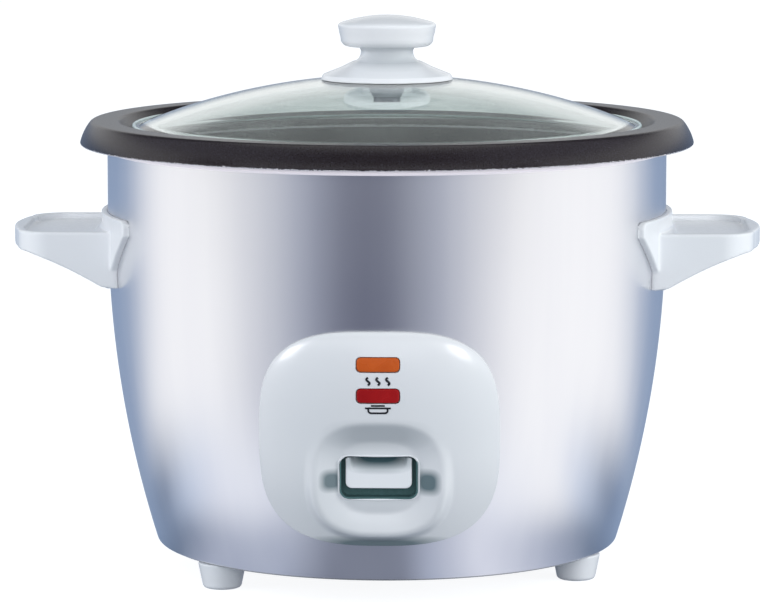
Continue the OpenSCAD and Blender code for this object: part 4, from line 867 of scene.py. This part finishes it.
def makeLever():
    half, low, high, deep = tab["half"], tab["low"], tab["high"], tab["deep"]
    line = even(rounded([(half, low, tab["corner"]), (half, high, 1.0), (-half, high, 1.0),
                         (-half, low, tab["corner"])], steps=8), 128)
    mid = (low + high) / 2.0

    def shape(r, turn, layer):
        px, pz = picked(line, turn)
        x = px * r
        z = mid + (pz - mid) * r
        side = ease((tab["scoopHalf"] - abs(x)) / 1.5)
        scoop = tab["scoop"] * side * bevelled((z - tab["scoopLow"]) / (high - tab["scoopLow"]), 0.25)
        return (x, -tab["front"] + layer + (scoop if layer < 3.0 else 0.0), z)

    outline = [(i / 40.0 * 0.95, 0.0) for i in range(41)]
    outline += [(0.975, 0.12), (0.993, 0.4), (1.0, 0.9), (1.0, 5.0), (1.0, deep), (0.0, deep)]
    lever = moulded("cookLever", outline, shape, 128)
    freeHands()
    stemMid = (-tab["front"] + deep - tab["stemEnd"]) / 2.0
    bpy.ops.mesh.primitive_cube_add(size=1.0, location=(0.0, stemMid * mm, tab["stemMid"] * mm))
    stem = bpy.context.object
    stem.scale = Vector((tab["stemWide"], tab["front"] - deep - tab["stemEnd"] + 1.0, tab["stemTall"])) * mm
    bpy.ops.object.transform_apply(location=True, rotation=True, scale=True)
    return stand(join("cookLever", [lever, stem]), "lever", "white_plastic", "cook_lever", smooth=40.0,
                 look="lever_plastic")


for side in ("left", "right"):
    seated(softened("handleGrip_" + side, "handle_" + side, "white_plastic", grip["voxel"], grip["passes"]))
softened("inletSocket", "inlet_socket", "black_plastic", 0.35, 2)
for place in ("left", "right", "rear"):
    softened("tableFoot_" + place, "foot_" + place, "white_plastic", 0.5, 4)
makeLever()
print("moulded pieces made")


studio = {"ambient": (0.88, 0.94, 1.0), "ambientLevel": 0.52, "floor": (0.30, 0.34, 0.38),
          "floorLift": 0.9, "ringRadius": 0.8, "ringTall": 1.5, "bandTop": 0.26, "paleFrom": 0.36,
          "hoodLow": 0.46, "hoodFull": 0.68, "aim": 0.11, "nearEnd": 0.145, "boardFrom": 0.18,
          "boardEnd": 0.2, "farFrom": 0.34}
tones = {"dark": (0.12, 0.13, 0.19), "grey": (0.40, 0.43, 0.53), "white": (1.08, 1.07, 1.08),
         "rear": (0.25, 0.34, 0.51), "far": (0.38, 0.42, 0.48), "hood": (0.03, 0.035, 0.05),
         "veil": (0.46, 0.47, 0.56), "pale": (0.92, 0.94, 1.02), "mist": (0.58, 0.67, 0.85),
         "dusk": (0.16, 0.21, 0.31), "deep": (0.22, 0.24, 0.31), "ash": (0.44, 0.48, 0.60),
         "glint": (0.78, 0.80, 0.90)}

# what the metal mirrors, by the angle round it in degrees from the front
bands = [(-180, "far"), (-150, "rear"), (-122, "rear"), (-98, "white"), (-66, "white"), (-30, "grey"),
         (-14, "dark"), (4, "dark"), (20, "grey"), (50, "white"), (102, "white"), (128, "rear"),
         (152, "rear"), (180, "far")]
boardBands = [(-180, "far"), (-115, "rear"), (-94, "dusk"), (-76, "mist"), (-58, "pale"), (-38, "pale"),
              (-20, "grey"), (-10, "dark"), (4, "dark"), (16, "grey"), (36, "pale"), (63, "white"),
              (78, "mist"), (95, "dusk"), (115, "rear"), (180, "far")]
nearBands = [(-180, "rear"), (-110, "rear"), (-76, "dusk"), (-54, "ash"), (-30, "ash"), (-14, "deep"),
             (6, "deep"), (14, "ash"), (30, "glint"), (54, "ash"), (76, "dusk"), (110, "rear"), (180, "rear")]
hoodBands = [(-180, "hood"), (-125, "hood"), (-105, "veil"), (-50, "veil"), (-24, "hood"), (24, "hood"),
             (50, "veil"), (105, "veil"), (125, "hood"), (180, "hood")]

# angle, height, distance and size in metres, power in watts and colour
boxes = {"leftBox": (-70.0, 0.6, 1.6, (1.0, 1.0), 11.5, (0.98, 0.98, 1.0)),
         "rightBox": (70.0, 0.6, 1.6, (1.0, 1.0), 14.5, (1.0, 1.0, 0.985)),
         "topBox": (0.0, 1.7, 0.8, (0.9, 0.9), 1.5, (1.0, 1.0, 1.0)),
         "frontBox": (5.0, 0.5, 2.3, (1.2, 0.7), 12.5, (1.0, 0.99, 1.0))}
# angle, height, distance, size and strength of the glints on the control panel
cards = {"leftCard": (-62.0, 0.36, 0.72, (0.26, 0.26), 13.0),
         "rightCard": (47.0, 0.33, 0.75, (0.20, 0.24), 13.0)}


def backdropRays(tree, *extra):  # 1 on the rays that see the backdrop
    path = tree.nodes.new("ShaderNodeLightPath")
    total = path.outputs["Is Camera Ray"]
    for name in ("Is Transmission Ray",) + extra:
        both = tree.nodes.new("ShaderNodeMath")
        both.operation = "MAXIMUM"
        tree.links.new(total, both.inputs[0])
        tree.links.new(path.outputs[name], both.inputs[1])
        total = both.outputs[0]
    return total


def skyWorld():
    world = bpy.data.worlds.new("studioSky")
    bpy.context.scene.world = world
    world.use_nodes = True
    tree = world.node_tree
    sky = tree.nodes["Background"]
    sky.inputs["Color"].default_value = (*studio["ambient"], 1.0)
    sky.inputs["Strength"].default_value = studio["ambientLevel"]
    plainWhite = tree.nodes.new("ShaderNodeBackground")
    plainWhite.inputs["Color"].default_value = (1.0, 1.0, 1.0, 1.0)
    plainWhite.inputs["Strength"].default_value = 1.0
    blend = tree.nodes.new("ShaderNodeMixShader")
    tree.links.new(backdropRays(tree, "Is Glossy Ray"), blend.inputs[0])
    tree.links.new(sky.outputs[0], blend.inputs[1])
    tree.links.new(plainWhite.outputs[0], blend.inputs[2])
    tree.links.new(blend.outputs[0], tree.nodes["World Output"].inputs[0])


def aimed(thing, azimuth, height, distance):
    a = math.radians(azimuth - 90.0)
    thing.location = (distance * math.cos(a), distance * math.sin(a), height)
    away = Vector((0.0, 0.0, studio["aim"])) - thing.location
    thing.rotation_euler = away.to_track_quat("-Z", "Y").to_euler()


def softbox(name, azimuth, height, distance, size, watts, color):
    light = bpy.data.lights.new(name, "AREA")
    light.shape = "RECTANGLE"
    light.size, light.size_y = size
    light.energy = watts
    light.color = color
    lamp = bpy.data.objects.new(name, light)
    bpy.context.collection.objects.link(lamp)
    aimed(lamp, azimuth, height, distance)
    lamp.visible_glossy = False  # the ring and the cards stand for the lamps in reflections


def onlyReflected(piece):  # seen in the gloss and nowhere else
    piece.visible_camera = False
    piece.visible_diffuse = False
    piece.visible_transmission = False
    piece.visible_shadow = False


def bandTones(f, point, table):
    turn = f.node("ShaderNodeMath", {"operation": "ARCTAN2"},
                  {0: f.axis("X", point), 1: f.axis("Y", point) * -1.0})
    stops = [((angle + 180.0) / 360.0, tones[tone]) for angle, tone in table]
    place = f.shift(turn, -math.pi, math.pi, 0.0, 1.0)
    return f.node("ShaderNodeValToRGB", {"stops": stops}, {0: place})


def makeRing():
    freeHands()
    tall = studio["ringTall"]
    bpy.ops.mesh.primitive_cylinder_add(vertices=128, radius=studio["ringRadius"], depth=tall,
                                        end_fill_type="NOTHING", location=(0.0, 0.0, tall / 2.0))
    bpy.ops.object.transform_apply(location=True)
    ring = bpy.context.object
    ring.name = "studioRing"
    f = Finish("studioRing")
    point = f.place()
    up = f.axis("Z", point)
    rise = f.shift(up, studio["bandTop"], studio["paleFrom"], 0.0, 1.0)
    pale = f.mix(rise, bandTones(f, point, bands), (0.96, 0.97, 0.98))
    tone = f.mix(f.smooth(up, studio["hoodLow"], studio["hoodFull"]), pale, bandTones(f, point, hoodBands))
    f.set(color=(0.0, 0.0, 0.0), specular=0.0, rough=1.0, glow=tone, glowStrength=1.0)
    ring.data.materials.append(f.material)
    onlyReflected(ring)


def glowCard(name, azimuth, height, distance, size, level, only):
    freeHands()
    bpy.ops.mesh.primitive_plane_add(size=1.0, location=(0, 0, 0))
    card = bpy.context.object
    card.name = name
    card.scale = (*size, 1.0)
    aimed(card, azimuth, height, distance)
    f = Finish(name)
    f.set(color=(0.0, 0.0, 0.0), specular=0.0, rough=1.0, glow=(1.0, 1.0, 1.0), glowStrength=level)
    card.data.materials.append(f.material)
    onlyReflected(card)
    lit = bpy.data.collections.new(name + "Lit")  # the card shows in this one piece alone
    lit.objects.link(only)
    card.light_linking.receiver_collection = lit


def makeFloor():
    freeHands()
    bpy.ops.mesh.primitive_plane_add(size=12.0, location=(0, 0, 0))
    floor = bpy.context.object
    floor.name = "studioFloor"
    f = Finish("studioFloor")
    point = f.place()
    x = f.axis("X", point)
    y = f.axis("Y", point)
    seen = Wire(f, backdropRays(f.tree))
    mirror = f.node("ShaderNodeLightPath", result="Is Glossy Ray")
    away = (x * x + y * y) ** 0.5
    first = f.shift(away, studio["nearEnd"], studio["boardFrom"], 0.0, 1.0)
    board = f.mix(first, bandTones(f, point, nearBands), bandTones(f, point, boardBands))
    board = f.mix(f.shift(away, studio["boardEnd"], studio["farFrom"], 0.0, 1.0), board,
                  bandTones(f, point, bands))
    lift = f.mix(seen, (0.0, 0.0, 0.0), (studio["floorLift"],) * 3)
    f.set(color=f.mix(mirror, studio["floor"], (0.0, 0.0, 0.0)), rough=0.8, specular=0.0,
          glow=f.mix(mirror, lift, board), glowStrength=1.0)
    floor.data.materials.append(f.material)


def makeStudio():
    skyWorld()
    for name, values in boxes.items():
        softbox(name, *values)
    makeRing()
    for name, values in cards.items():
        glowCard(name, *values, bpy.data.objects["controlPanel"])
    makeFloor()


makeStudio()
print("studio made")

scene = bpy.context.scene
scene.view_settings.view_transform = "Standard"
